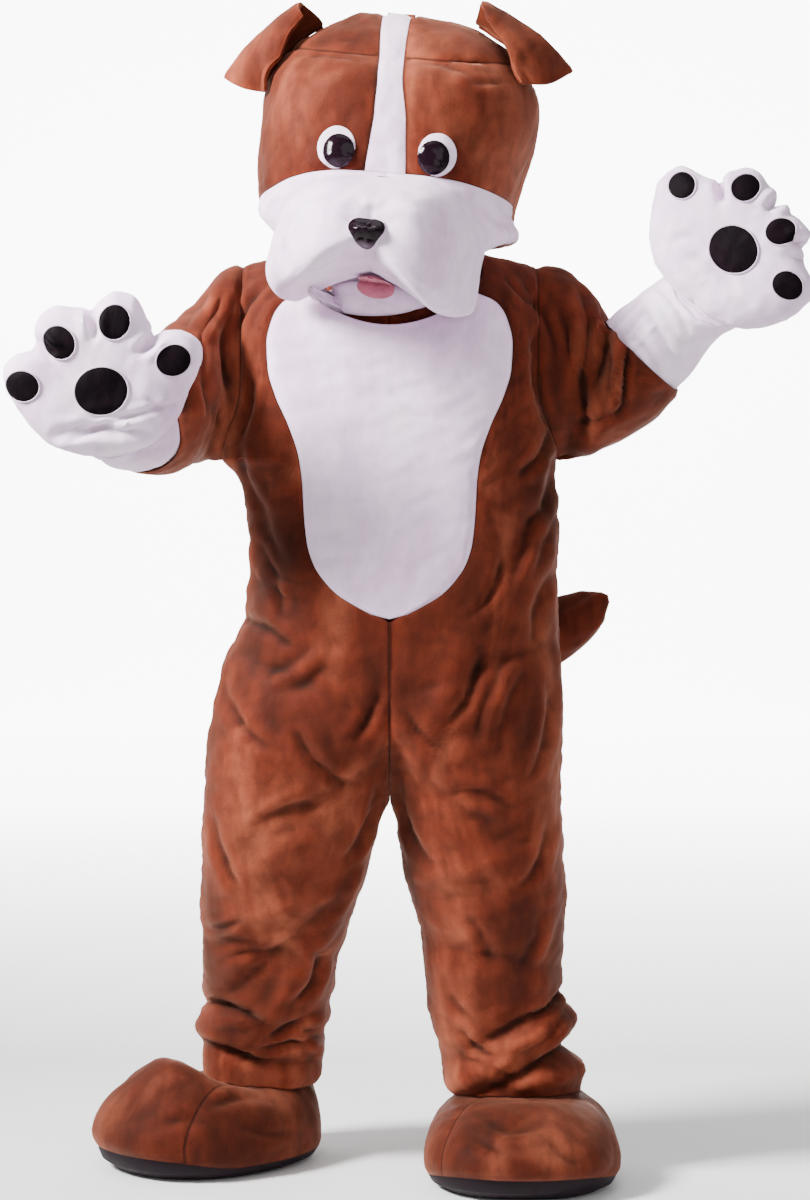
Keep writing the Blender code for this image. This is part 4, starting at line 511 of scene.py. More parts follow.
CAMERA = {"place": (0.024, -4.8, -0.41), "lens": 90.4, "shift_y": -0.0853}
BODY_MIDDLE = (0.0, 0.0, -0.45)
LAMPS = {
    # place, size, watts, colour, where it points, how wide it spreads in degrees
    "key": ((-3.2, -1.6, 1.8), 1.2, 112, (1.0, 0.985, 0.97), (-0.15, 0.0, -0.18), 62),
    "fill": ((1.6, -3.8, 0.6), 3.0, 56, (0.97, 0.98, 1.0), BODY_MIDDLE, 180),
    "top": ((0.0, -0.6, 2.8), 2.6, 50, (1.0, 1.0, 1.0), BODY_MIDDLE, 180),
    "rim": ((-1.8, 1.9, 1.2), 1.6, 30, (1.0, 0.98, 0.96), BODY_MIDDLE, 180),
}
ROOM_COLOUR, ROOM_LIGHT = (1.0, 0.98, 0.99, 1), 0.38
# The paper sweep: how far it reaches, its bend and height; its far end is a painted glow, full and none at
# these places.
STUDIO_REACH, STUDIO_BEND, STUDIO_HEIGHT = 12.0, 2.5, 9.0
GLOW = {"y": (6.0, 1.0), "aside": (2.4, 3.8), "z": (2.8, 4.4), "strength": 8.0}


def eased(t):
    t = np.clip(t, 0.0, 1.0)
    return t * t * (3 - 2 * t)


def curve(keys, values, at):
    """A smooth curve through a table's points that never overshoots them."""
    keys, values = np.asarray(keys, float), np.asarray(values, float)
    steps = np.diff(keys)
    slopes = np.diff(values) / steps
    tangents = np.zeros(len(keys))
    same_way = slopes[:-1] * slopes[1:] > 0
    before, after = slopes[:-1][same_way], slopes[1:][same_way]
    w_before = (2 * steps[1:] + steps[:-1])[same_way]
    w_after = (steps[1:] + 2 * steps[:-1])[same_way]
    tangents[1:-1][same_way] = (w_before + w_after) / (w_before / before + w_after / after)
    tangents[0], tangents[-1] = slopes[0], slopes[-1]
    at = np.clip(np.asarray(at, float), keys[0], keys[-1])
    span = np.clip(np.searchsorted(keys, at, side="right") - 1, 0, len(keys) - 2)
    step = steps[span]
    t = (at - keys[span]) / step
    return ((1 + 2 * t) * (1 - t) ** 2 * values[span] + t * (1 - t) ** 2 * step * tangents[span]
            + t * t * (3 - 2 * t) * values[span + 1] + t * t * (t - 1) * step * tangents[span + 1])


def read(table, column, at):
    return curve(table["z"], table[column], at)


def power(value, exponent):
    return np.sign(value) * np.abs(value) ** exponent


def unit(vector):
    vector = np.asarray(vector, float)
    return vector / np.linalg.norm(vector)


def square_to(vector, *axes):
    """The unit vector of what is left of a vector without its parts along the axes."""
    rest = np.asarray(vector, float)
    for axis in axes:
        rest = rest - axis * np.dot(vector, axis)
    return unit(rest)


def finer(grid, count):
    """A grid with more rows, on smooth curves through its own."""
    flat = grid.reshape(len(grid), -1)
    keys, at = np.arange(len(grid)), np.linspace(0, len(grid) - 1, count)
    columns = [curve(keys, flat[:, column], at) for column in range(flat.shape[1])]
    return np.stack(columns, axis=-1).reshape(count, *grid.shape[1:])


def path_at(path, at):
    """The place, the way and the radius of a path at a number of its steps."""
    keys = range(len(path["x"]))
    centre, ahead, behind = (np.array([curve(keys, path[axis], at + step) for axis in ("x", "y", "z")])
                             for step in (0, PATH_STEP, -PATH_STEP))
    return centre, unit(ahead - behind), curve(keys, path["radius"], at)


def ring_at(centre, radius, turn, first, second, flat=1.0):
    """A ring of points round a centre; flat makes its second axis shorter."""
    return centre + radius * (np.cos(turn)[:, None] * first + flat * np.sin(turn)[:, None] * second)


def closed(grid):
    """The grid with its first column once more at its end."""
    return np.concatenate([grid, grid[:, :1]], axis=1)


def corners(grid):
    """The four corners of each face of a grid, in order round it."""
    return grid[:-1, :-1], grid[:-1, 1:], grid[1:, 1:], grid[1:, :-1]


def step_lengths(grid, axis):
    return np.linalg.norm(np.diff(grid, axis=axis), axis=-1)


# ---------------------------------------------------------------- cloth

def vertex_normals(grids, rings=()):
    """Outward normals of panels that share their seam points, so that their walls meet along the seams."""
    points = np.concatenate([grid.reshape(-1, 3) for grid in grids])
    _, shared = np.unique(np.round(points, 5), axis=0, return_inverse=True)
    shared = shared.reshape(-1)
    total = np.zeros((shared.max() + 1, 3))
    starts = np.cumsum([0] + [grid.shape[0] * grid.shape[1] for grid in grids])
    for number, grid in enumerate(grids):
        index = np.arange(starts[number], starts[number + 1]).reshape(grid.shape[:2])
        a, b, c, d = corners(closed(index) if number in rings else index)
        normal = np.cross(points[c] - points[a], points[d] - points[b])
        for corner in (a, b, c, d):
            np.add.at(total, shared[corner], normal)
    normals = total[shared]
    normals = normals / np.maximum(np.linalg.norm(normals, axis=1, keepdims=True), 1e-12)
    return [normals[start:end].reshape(grid.shape) for grid, start, end in zip(grids, starts, starts[1:])]


def beside_line(points, x0, z0, x1, z1):
    """How far along a line each point is, in its lengths, how far beside it, and the line's length."""
    along = np.array([x1 - x0, z1 - z0])
    length = np.hypot(*along)
    along = along / length
    dx, dz = points[..., 0] - x0, points[..., 2] - z0
    return (dx * along[0] + dz * along[1]) / length, dx * along[1] - dz * along[0], length


def fold_depth(points, normals, folds):
    """How far the folds move each point along its normal."""
    depth = np.zeros(points.shape[:-1])
    for *line, width, height, face in folds:
        run, off, length = beside_line(points, *line)
        beyond = np.where(run < 0, -run, np.maximum(run - 1, 0)) * length
        if face == ROUND:
            shape = eased(1.5 - beyond / ROUND_END)
        else:
            ends = np.sin(np.clip(run, 0.12, 0.88) * math.pi) ** 0.5
            side = eased(0.5 + FACE_EDGE * normals[..., 1] * face)
            shape = np.exp(-(beyond / (0.35 * length)) ** 2) * ends * side
        depth += height * np.exp(-(off / width) ** 2) * shape
    return depth


def crease_depth(points, normals, creases):
    """How far the creases move each point: a bowed line with a soft shoulder on both sides of it."""
    depth = np.zeros(points.shape[:-1])
    for *line, bow, width, height, face in creases:
        run, off, _ = beside_line(points, *line)
        inside = np.clip(run, 0, 1)
        belly = 4 * inside * (1 - inside)
        off = (off + bow * belly) / width
        shape = np.exp(-off ** 2) - 0.45 * np.exp(-((np.abs(off) - 1.9) / 0.9) ** 2)
        depth += height * shape * belly ** 0.7 * eased(0.5 + FACE_EDGE * normals[..., 1] * face)
    return depth


def dimples(points, seed, depth, size=1.0):
    """The shallow unevenness of plush sewn by hand, as crossed waves of several lengths."""
    wave = np.random.default_rng(seed)
    total = np.zeros(points.shape[:-1])
    for length in DIMPLE_LENGTHS:
        way, across = unit(wave.normal(size=3)), unit(wave.normal(size=3))
        start = wave.uniform(0, 2 * math.pi, 2)
        bend = 1.3 * np.sin(points @ across * 3.1 / length / size + start[0])
        total += length * np.sin(points @ way * 2 * math.pi / length / size + start[1] + bend)
    return depth * total / sum(DIMPLE_LENGTHS) * 2


def edge_distance(grid, ring=False, dome=False):
    """How far each point is from the nearest seam of its panel, along the cloth."""
    down = np.zeros(grid.shape[:2])
    down[1:] = np.cumsum(step_lengths(grid, 0), axis=0)
    far = down[-1:] - down
    if not dome:
        far = np.minimum(far, down)
    if not ring:
        along = np.zeros(grid.shape[:2])
        along[:, 1:] = np.cumsum(step_lengths(grid, 1), axis=1)
        far = np.minimum(far, np.minimum(along, along[:, -1:] - along))
    return far


def flat_cut(grid, ring=False):
    """The width, length and area that a panel is cut to."""
    across = closed(grid) if ring else grid
    width, length = step_lengths(across, 1).sum(axis=1).max(), step_lengths(grid, 0).sum(axis=0).max()
    a, b, c, d = corners(across)
    area = 0.5 * np.linalg.norm(np.cross(c - a, d - b), axis=-1).sum()
    scale = math.sqrt(max(1.0, area / (width * length)))
    return {"flat": (width * scale, length * scale), "area": max(area, SMALLEST_AREA_SHARE * width * length)}


def drawn_in(layer, by, kept=()):
    """The grid with each border but the kept ones moved in along the cloth."""
    layer = layer.copy()
    every = slice(None)
    moves = {"start_row": ((0, every), (1, every)), "end_row": ((-1, every), (-2, every)),
             "start_column": ((every, 0), (every, 1)), "end_column": ((every, -1), (every, -2))}
    for edge, inner in (moves[name] for name in moves if name not in kept):
        step = layer[inner] - layer[edge]
        length = np.linalg.norm(step, axis=-1, keepdims=True)
        layer[edge] += np.where(length > 2 * by, step / np.maximum(length, 1e-9), 0) * by
    return layer


def placed(name, data, place=(0, 0, 0), turn=(0, 0, 0)):
    """A new object of the scene."""
    made = bpy.data.objects.new(name, data)
    made.location, made.rotation_euler = place, turn
    bpy.context.scene.collection.objects.link(made)
    return made


def joined(name, points, faces, material, near_seam=None):
    """One smooth mesh object, its doubled points made one."""
    mesh = bpy.data.meshes.new(name)
    mesh.from_pydata(points.tolist(), [], faces)
    # The panel's painted shade along its seams, kept as a point attribute.
    if near_seam is not None:
        values = mesh.attributes.new("near_seam", "FLOAT", "POINT").data
        values.foreach_set("value", np.resize(near_seam, len(points)))
    body = bmesh.new()
    body.from_mesh(mesh)
    bmesh.ops.remove_doubles(body, verts=body.verts, dist=DOUBLED)
    bmesh.ops.dissolve_degenerate(body, edges=body.edges, dist=1e-7)
    body.to_mesh(mesh)
    body.free()
    mesh.shade_smooth()
    mesh.set_sharp_from_angle(angle=SHARP_ANGLE)
    mesh.materials.append(material)
    return placed(name, mesh)


def wall(name, outer, inner, material, ring=False, near_seam=None):
    """A sheet of cloth from its outer and inner grids of points."""
    layer = outer.shape[0] * outer.shape[1]
    points = np.concatenate([outer.reshape(-1, 3), inner.reshape(-1, 3)])
    index = np.arange(layer).reshape(outer.shape[:2])
    if ring:
        index = closed(index)
    outside = np.stack(corners(index), axis=-1).reshape(-1, 4)
    border = [(index[0, :-1], index[0, 1:]), (index[-1, 1:], index[-1, :-1])]
    if not ring:
        border += [(index[1:, 0], index[:-1, 0]), (index[:-1, -1], index[1:, -1])]
    rims = [np.stack([b, a, a + layer, b + layer], axis=-1) for a, b in border]
    faces = np.concatenate([outside, outside[:, ::-1] + layer, *rims])
    return joined(name, points, faces.tolist(), material, near_seam)


def tube(name, loop, out, radius, slot, host):
    """A closed round cord along a loop of points, fixed to the piece that it goes round: the pads' sewn
    edges, and the white ring round the nose, which is a painted highlight.
    """
    way = np.roll(loop, -1, axis=0) - np.roll(loop, 1, axis=0)
    way = way / np.linalg.norm(way, axis=-1, keepdims=True)
    side = np.cross(way, out)
    side = side / np.linalg.norm(side, axis=-1, keepdims=True)
    up = np.cross(side, way)
    turn = np.linspace(0, 2 * math.pi, TUBE_SIDES, endpoint=False)[None, :, None]
    grid = loop[:, None] + radius * (np.cos(turn) * side[:, None] + np.sin(turn) * up[:, None])
    index = np.arange(grid.shape[0] * grid.shape[1]).reshape(grid.shape[:2])
    after, beside = np.roll(index, -1, axis=0), np.roll(index, -1, axis=1)
    faces = np.stack([index, beside, np.roll(after, -1, axis=1), after], axis=-1).reshape(-1, 4)
    piece = joined(name, grid.reshape(-1, 3), faces.tolist(), material_of(slot))
    piece.parent = host
    return piece


def sewn_name(node):
    return "sewn." + node


def fitted(piece, node):
    """Puts a piece in its solid's place."""
    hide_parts(node)
    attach(piece, "root")
    return piece


def walled(node, slot, grids, ring=True, finish=None):
    """A piece made of its outer and its under grid, in its solid's place."""
    return fitted(wall(sewn_name(node), *grids, material_of(finish or slot), ring), node)


def made_before(*nodes):
    """The finished pieces of these solids, or an error if one of them isn't made yet."""
    missing = [node for node in nodes if sewn_name(node) not in bpy.data.objects]
    if missing:
        raise RuntimeError("make these pieces first: " + ", ".join(missing))
    return [bpy.data.objects[sewn_name(node)] for node in nodes]


def side_of(name):
    """The side that a piece keeps to, or None for one that crosses the mid plane or never nears it."""
    if name in ("bib", "blaze") or name.startswith("sleeve"):
        return None
    return LEFT if name.endswith("left") else RIGHT


def sewn(panels, thickness, finish_of, folds=(), creases=(), rings=(), keep_side=None, domes=(),
         pile=None, seed=3, finish=None):
    """Sews panels that share seams. panels maps a node to its grid on the bare surface.

    rings are the panels that close on themselves, and domes those whose first row is one point."""
    cloth = bpy.context.scene.costume_cloth
    pile = cloth.pile if pile is None else pile
    names = list(panels)
    numbers = [names.index(name) for name in rings]
    grids = [panels[name] for name in names]
    cuts = [flat_cut(grid, name in rings) for name, grid in zip(names, grids)]
    for shift, lines, share in ((fold_depth, folds, 1), (crease_depth, creases, cloth.creasing)):
        normals = vertex_normals(grids, numbers)
        grids = [grid + normal * share * shift(grid, normal, lines)[..., None]
                 for grid, normal in zip(grids, normals)]
    normals = vertex_normals(grids, numbers)
    made = []
    for name, grid, normal, cut in zip(names, grids, normals, cuts):
        ring, dome = name in rings, name in domes
        far = edge_distance(grid, ring, dome)
        inset = 1 - np.exp(-(far / cloth.seam_width) ** 2)
        beside_seam = np.exp(-((far / cloth.seam_width - 1.6) / 1.3) ** 2)
        gathers = dimples(grid, seed + 1, cloth.pucker, GATHER_SIZE) * beside_seam
        lift = inset * (pile + dimples(grid, seed, cloth.dimple) + gathers)
        kept = ("start_column", "end_column") * ring + ("start_row",) * dome
        layers = [drawn_in(grid + normal * lift[..., None], SEAM_GAP / 2, kept),
                  drawn_in(grid - normal * thickness, SEAM_GAP / 2, kept)]
        side = keep_side and keep_side(name)
        if side:
            for layer in layers:
                layer[..., 0] = side * np.maximum(side * layer[..., 0], SEAM_GAP / 2)
        slot = finish_of(name)
        # Painted shade along the seams: 1 at a seam, fading over this width; the plush finish darkens the
        # colour by it.
        painted_seam_shade_share = np.exp(-(far / STITCH_WIDTH) ** 2)
        sheet = wall(sewn_name(name), *layers, material_of(finish or slot), ring, painted_seam_shade_share)
        piece = fitted(sheet, name)
        made.append(piece)
    return made


# ---------------------------------------------------------------- surfaces to lie on

def surface_of(objects):
    """The joined faces of some objects, to lay other pieces on."""
    points, faces = [], []
    for thing in objects:
        start = len(points)
        points += [thing.matrix_world @ vert.co for vert in thing.data.vertices]
        faces += [[start + index for index in face.vertices] for face in thing.data.polygons]
    return BVHTree.FromPolygons(points, faces)


def landed(tree, points, out, reach=0.3):
    """Where the points meet the surface when they move against the way out; a miss keeps its place."""
    way = Vector(-np.asarray(out, float))
    found = []
    for point in points.reshape(-1, 3):
        start = Vector(point) - way * reach
        hit = tree.ray_cast(start, way, 2 * reach)[0]
        if hit is None:
            hit = tree.ray_cast(start + Vector((BESIDE_EDGE,) * 3), way, 2 * reach)[0]
        found.append(point if hit is None else hit)
    return np.array(found, float).reshape(points.shape)


def rested(tree, flat, out, gap, ring=True):
    """The points landed on a surface, then raised until the faces between them clear it by the gap."""
    under = landed(tree, flat, out)
    lift = np.zeros(flat.shape[:2])
    rows, columns = flat.shape[:2]
    spans = [(0, 1), (1, 0), (1, 1)]
    for down, along in spans:
        steps = [(i * down, j * along) for i in (0, 1) for j in (0, 1)]
        width = columns if ring else columns - along
        parts = [(np.arange(rows - down) + i, (np.arange(width) + j) % columns) for i, j in steps]
        middle = np.mean([flat[np.ix_(i, j)] for i, j in parts], axis=0)
        faces = np.mean([under[np.ix_(i, j)] for i, j in parts], axis=0)
        short = np.clip(1.25 * (landed(tree, middle, out) - faces) @ out, 0, LARGEST_LIFT)
        for i, j in parts:
            lift[np.ix_(i, j)] = np.maximum(lift[np.ix_(i, j)], short)
    if ring:
        lift[0] = lift[0].max()
    return under + out * (gap + lift)[..., None]


def laid(centre, wide, tall, out, rise, tree, outline=None, gap=LAID_GAP, blunt=0.6):
    """The outer and the under grid of a rounded piece that lies on a surface."""
    out = unit(out)
    turn = np.linspace(0, 2 * math.pi, LAID_POINTS, endpoint=False)
    reach = np.ones(LAID_POINTS) if outline is None else outline(turn)
    spokes = np.cos(turn)[:, None] * np.asarray(wide) + np.sin(turn)[:, None] * np.asarray(tall)
    shares = np.sin(np.linspace(0, math.pi / 2, LAID_RINGS + 1))
    flat = np.asarray(centre) + shares[:, None, None] * (spokes * reach[:, None])[None]
    under = rested(tree, flat, out, gap)
    crown = 0.25 + 0.75 * (1 - shares ** 2.4)[:, None, None] ** blunt
    outer = under + out * rise * crown
    return outer, under


# ---------------------------------------------------------------- finishes

def dialled(node, **values):
    """Sets a node's inputs. An underscore in a name stands for a space."""
    for key, value in values.items():
        node.inputs[key.replace("_", " ")].default_value = value


def node_of(tree, kind, **values):
    """A new shader node, with its own settings and its inputs' values."""
    node = tree.nodes.new(kind)
    for key, value in values.items():
        if hasattr(node, key):
            setattr(node, key, value)
        else:
            dialled(node, **{key: value})
    return node


def shader_of(name):
    material = bpy.data.materials.new(name)
    material.use_nodes = True
    tree = material.node_tree
    return material, tree, tree.nodes["Principled BSDF"]


def grain(tree, scale, stretch=(1, 1, 1), detail=3.0, roughness=0.6, distortion=0.0, kind="FBM"):
    """A noise in the costume's own space, stretched along the pile."""
    place = node_of(tree, "ShaderNodeTexCoord")
    mapping = node_of(tree, "ShaderNodeMapping", Scale=stretch)
    noise = node_of(tree, "ShaderNodeTexNoise", Scale=scale, Detail=detail, Roughness=roughness,
                    Distortion=distortion, noise_type=kind)
    tree.links.new(place.outputs["Object"], mapping.inputs["Vector"])
    tree.links.new(mapping.outputs["Vector"], noise.inputs["Vector"])
    return noise.outputs["Fac"]


def ramp(tree, value, stops):
    """The colours of a value: stops are (place, colour)."""
    made = node_of(tree, "ShaderNodeValToRGB")
    band = made.color_ramp.elements
    while len(band) < len(stops):
        band.new(0.5)
    for element, (place, colour) in zip(band, stops):
        element.position = place
        element.color = (*colour, 1)
    tree.links.new(value, made.inputs["Fac"])
    return made.outputs["Color"]


def darkened(tree, colour, value, stops):
    """The colour times a grey that follows a value: stops are (place, grey)."""
    mix = node_of(tree, "ShaderNodeMix", data_type="RGBA", blend_type="MULTIPLY")
    mix.inputs["Factor"].default_value = 1.0
    tree.links.new(colour, mix.inputs[6])
    tree.links.new(ramp(tree, value, [(place, (tone,) * 3) for place, tone in stops]), mix.inputs[7])
    return mix.outputs[2]


def bumps(tree, shader, layers):
    """Bump layers, coarse to fine: (value, strength, distance)."""
    last = None
    for value, strength, distance in layers:
        bump = node_of(tree, "ShaderNodeBump", Strength=strength, Distance=distance)
        tree.links.new(value, bump.inputs["Height"])
        if last is not None:
            tree.links.new(last, bump.inputs["Normal"])
        last = bump.outputs["Normal"]
    tree.links.new(last, shader.inputs["Normal"])


def roughened(tree, shader, value, low, high):
    spread = node_of(tree, "ShaderNodeMapRange", To_Min=low, To_Max=high)
    tree.links.new(value, spread.inputs["Value"])
    tree.links.new(spread.outputs["Result"], shader.inputs["Roughness"])


def plush_finish(name, dark, mid, light, patch, sheen, tint, contrast=1.0):
    """Short plush: wide patches where the nap lies another way, faint streaks down it, and single fibres. The
    patches' light end is partly a painted sheen highlight, and their dark end partly painted shade.

    patch is the scale of the patches. Hollows and creases are darkened as painted shade, and the seams as
    painted shade in their grooves, by their contrast."""
    material, tree, shader = shader_of(name)
    nap = grain(tree, patch, (1, 1, 0.45), 3.0, 0.55, 0.5)
    crush = grain(tree, patch * 5, (1, 1, 0.6), 3.0, 0.55, 0.4)
    fibre = grain(tree, 800, (1, 1, 0.4), 2.0, 0.7)
    crinkle = grain(tree, 13, (1, 1, 0.7), 2.5, 0.5, 0.6, "RIDGED_MULTIFRACTAL")
    # Painted shade: the colour darkens where the mesh is hollow, in creases and folds, by its pointiness.
    painted_crease_shade = node_of(tree, "ShaderNodeNewGeometry").outputs["Pointiness"]
    # Painted shade along the seams, read from the point attribute that sewn gives each panel.
    seam = node_of(tree, "ShaderNodeAttribute", attribute_name="near_seam").outputs["Fac"]
    low = 1 - 0.30 * contrast
    # Painted light in the nap patches: the dark end is partly painted shade, the light end partly a painted
    # sheen highlight.
    colour = ramp(tree, nap, [(0.30, dark), (0.50, mid), (0.70, light)])
    colour = darkened(tree, colour, crush, [(0.35, low), (0.60, 1.0)])
    colour = darkened(tree, colour, fibre, [(0.35, low + 0.06), (0.65, 1.0)])
    colour = darkened(tree, colour, painted_crease_shade, [(0.455, 1 - 0.84 * contrast), (0.50, 1 - 0.28 * contrast),
                                             (0.545, 1.0)])
    colour = darkened(tree, colour, seam, [(0.62, 1.0), (0.86, 1 - 0.62 * contrast)])
    tree.links.new(colour, shader.inputs["Base Color"])
    roughened(tree, shader, nap, 0.60, 0.80)
    dialled(shader, Sheen_Weight=sheen, Sheen_Roughness=0.55, Sheen_Tint=(*tint, 1), Specular_IOR_Level=0.06)
    bumps(tree, shader, [(crinkle, 0.5 * contrast, 0.0035), (nap, 0.35, 0.0030), (crush, 0.5, 0.0018),
                         (fibre, 0.6, 0.0006)])
    return material


def felt_finish(name, dark, light):
    material, tree, shader = shader_of(name)
    matting = grain(tree, 260, detail=4.0, roughness=0.7, distortion=1.5)
    patch = grain(tree, 45)
    colour = ramp(tree, matting, [(0.3, dark), (0.7, light)])
    colour = darkened(tree, colour, patch, [(0.3, 0.82), (0.7, 1.0)])
    tree.links.new(colour, shader.inputs["Base Color"])
    roughened(tree, shader, matting, 0.75, 0.95)
    dialled(shader, Sheen_Weight=0.25)
    bumps(tree, shader, [(patch, 0.3, 0.0010), (matting, 0.6, 0.0006)])
    return material


def gloss_finish(name, colour, rim):
    material, tree, shader = shader_of(name)
    wear = grain(tree, 60, detail=5.0, roughness=0.65)
    tree.links.new(ramp(tree, wear, [(0.3, colour), (0.8, rim)]), shader.inputs["Base Color"])
    roughened(tree, shader, wear, 0.06, 0.16)
    dialled(shader, Specular_IOR_Level=0.15)
    bumps(tree, shader, [(wear, 0.15, 0.0008)])
    return material


def rubber_finish(name, colour, dust):
    material, tree, shader = shader_of(name)
    wear = grain(tree, 30, detail=5.0, roughness=0.7, distortion=0.5)
    pores = grain(tree, 700, detail=2.0)
    tree.links.new(ramp(tree, wear, [(0.4, colour), (0.85, dust)]), shader.inputs["Base Color"])
    roughened(tree, shader, wear, 0.50, 0.80)
    dialled(shader, Specular_IOR_Level=0.15)
    bumps(tree, shader, [(wear, 0.2, 0.001), (pores, 0.5, 0.0004)])
    return material


def material_of(finish):
    """A finish, made when it is first asked for: one for each material slot, and two more of brown plush,
    darker copies that paint shade on the ears' linings and the shoe covers.
    """
    name = "finish." + finish
    if name in bpy.data.materials:
        return bpy.data.materials[name]
    colours = bpy.context.scene.costume_colours
    shade, brown, nap, white, black, tongue = (np.array(getattr(colours, tone)) for tone in (
        "brown_shade", "brown", "brown_nap", "white", "black", "tongue"))
    maker, *details = {
        # Brown plush: its patches' light end is partly a painted sheen highlight, and its dark end partly
        # painted shade.
        "brown_plush": (plush_finish, shade, brown, nap, 8, 0.19, (1.0, 0.46, 0.32)),
        # The ears' linings: the same brown plush made darker, a painted shade inside the ears.
        "brown_lining": (plush_finish, shade, brown * 0.8, brown * 1.3, 12, 0.3, (1.0, 0.45, 0.27)),
        # The shoe covers: the brown plush at 0.62 of its brightness, a painted shade.
        "brown_shoe_plush": (plush_finish, 0.62 * shade, 0.62 * brown, 0.62 * nap, 9, 0.16,
                             (1.0, 0.45, 0.30)),
        "white_plush": (plush_finish, white * (0.80, 0.76, 0.80), white, np.minimum(white * 1.1, 0.95), 10,
                        0.30, (1, 0.93, 1), 0.30),
        "black_pad_fabric": (plush_finish, black * 0.6, black, black * 1.6, 20, 0.0, (1, 1, 1)),
        "tongue_felt": (felt_finish, tongue * 0.75, tongue),
        "eye_white_fabric": (felt_finish, white, np.minimum(white * 1.15, 0.95)),
        "eye_black_gloss": (gloss_finish, black * 0.8, black * 1.6),
        "nose_gloss": (gloss_finish, black * 0.8, black * 1.4),
        "black_sole": (rubber_finish, black * 0.7, black * 1.8),
    }[finish]
    return maker(name, *details)


# ---------------------------------------------------------------- head

def head_value(column, level):
    return curve(range(TOP_LEVEL + 1), HEAD_LEVELS[column], level)


def head_point(side, angle, level):
    """A point of the head in its own frame. The angle is 0 at the side, 90 at the front, -90 at the back."""
    face = np.sin(angle)
    front = face > 0
    half = head_value("half", level) * (head_value("left_share", level) if side == LEFT else 1.0)
    depth = np.where(front, -head_value("front", level), head_value("back", level))
    inset = np.where(front, head_value("blaze", level), 0.0)
    end_z = np.where(front, head_value("front_z", level), head_value("back_z", level))
    x = inset + np.maximum(half - inset, 0) * np.abs(np.cos(angle)) ** (2 / HEAD_SQUARENESS)
    x = np.where(half < inset, inset * np.abs(face), x)
    y = depth * np.abs(face) ** (2 / HEAD_SQUARENESS)
    side_z = head_value("side_z", level) + (head_value("left_lift", level) if side == LEFT else 0.0)
    z = side_z + (end_z - side_z) * np.abs(face) ** 2.2
    return np.stack([side * x, y, z + 0 * x], axis=-1)


def head_turn(points):
    """Head frame to the costume's frame: the head is rolled and turned on a neck that stays put."""
    points = np.asarray(points, float)
    neck = NECK_TURN
    share = eased((points[..., 2] - neck["from_z"]) / neck["over"]
                  + np.maximum(neck["jaw_y"] - points[..., 1], 0) / neck["jaw_over"])
    local = points - HEAD_PIVOT
    yaw = -HEAD_YAW * share
    x = local[..., 0] * np.cos(yaw) - local[..., 1] * np.sin(yaw)
    y = local[..., 0] * np.sin(yaw) + local[..., 1] * np.cos(yaw)
    roll = HEAD_ROLL * share
    z = local[..., 2]
    turned = np.stack([x * np.cos(roll) + z * np.sin(roll), y, -x * np.sin(roll) + z * np.cos(roll)], axis=-1)
    return turned + HEAD_PIVOT


def bumped(points, normals, bumps):
    depth = np.zeros(points.shape[:-1])
    for x, z, width, height in bumps:
        near = np.exp(-((points[..., 0] - x) ** 2 + (points[..., 2] - z) ** 2) / width ** 2)
        depth += height * near * eased(0.5 - 0.8 * normals[..., 1])
    return points + normals * depth[..., None]


def facing_out(grid, centre, ring=False):
    """The grid with its columns turned round if its faces would point at the centre."""
    normal = vertex_normals([grid], (0,) if ring else ())[0]
    if np.sum(normal * (grid - centre)) < 0:
        return grid[:, ::-1]
    return grid


def head_finish(node):
    return "white_plush" if node == "blaze" or "cheek" in node else "brown_plush"


def head_panels():
    """The grids of the head's panels, in its own upright frame."""
    panels = {}
    front = np.linspace(0, math.pi / 2, HEAD_FRONT_COLUMNS + 1)
    back = np.linspace(-math.pi / 2, 0, HEAD_BACK_COLUMNS + 1)
    whole = np.concatenate([back, front[1:]])
    plan = {
        "head_jaw": (whole, HEAD_ROWS["jaw"]),
        "head_cheek": (front, HEAD_ROWS["cheek"]),
        "head_face": (front, HEAD_ROWS["face"]),
        "head_back": (back, HEAD_ROWS["cheek"] + HEAD_ROWS["face"][1:]),
        "head_crown": (whole, HEAD_ROWS["crown"]),
    }
    for side_name, side in SIDES.items():
        for piece, (angles, levels) in plan.items():
            grid = np.array([head_point(side, angles, level) for level in levels])
            if piece in ("head_jaw", "head_cheek"):
                strip = [grid[:, -1:] * np.array([share, 1.0, 1.0]) for share in TO_MIDDLE]
                grid = np.concatenate([grid, *strip], axis=1)
            panels[piece + "_" + side_name] = facing_out(grid, HEAD_CORE)
    stripe = []
    for level in HEAD_ROWS["face"] + HEAD_ROWS["crown"][1:]:
        x, y, z = head_point(LEFT, np.array([math.pi / 2]), level)[0]
        stripe.append([[share * x, y, z] for share in np.linspace(-1, 1, STRIPE_COLUMNS)])
    panels["blaze"] = facing_out(np.array(stripe), HEAD_CORE)
    normals = vertex_normals(list(panels.values()))
    panels = {name: bumped(grid, normal, HEAD_BUMPS) for (name, grid), normal in zip(panels.items(), normals)}
    panels["blaze"][-1, :, 1] -= STRIPE_END_GAP
    return panels


def on_head(piece):
    piece["on_head"] = True
    return piece


def head_shell():
    nodes = [f"head_{piece}_{side}" for piece in ("jaw", "cheek", "face", "back", "crown") for side in SIDES]
    return made_before(*nodes, "blaze")


def leaned(points):
    lean = STRIPE_LEAN
    high = np.clip((points[..., 2] - lean["from_z"]) / (lean["to_z"] - lean["from_z"]), 0, 1)
    near = np.maximum(0, 1 - (points[..., 0] / lean["half_wide"]) ** 2)
    near = near * eased((lean["back_y"] - points[..., 1]) / lean["fade"])
    return points - np.array([lean["aside"], 0, 0]) * (high * near)[..., None]


def moved(piece, place):
    """Puts each point of a piece where the given function says."""
    points = np.empty(len(piece.data.vertices) * 3)
    piece.data.vertices.foreach_get("co", points)
    piece.data.vertices.foreach_set("co", place(points.reshape(-1, 3)).ravel())
    piece.data.update()


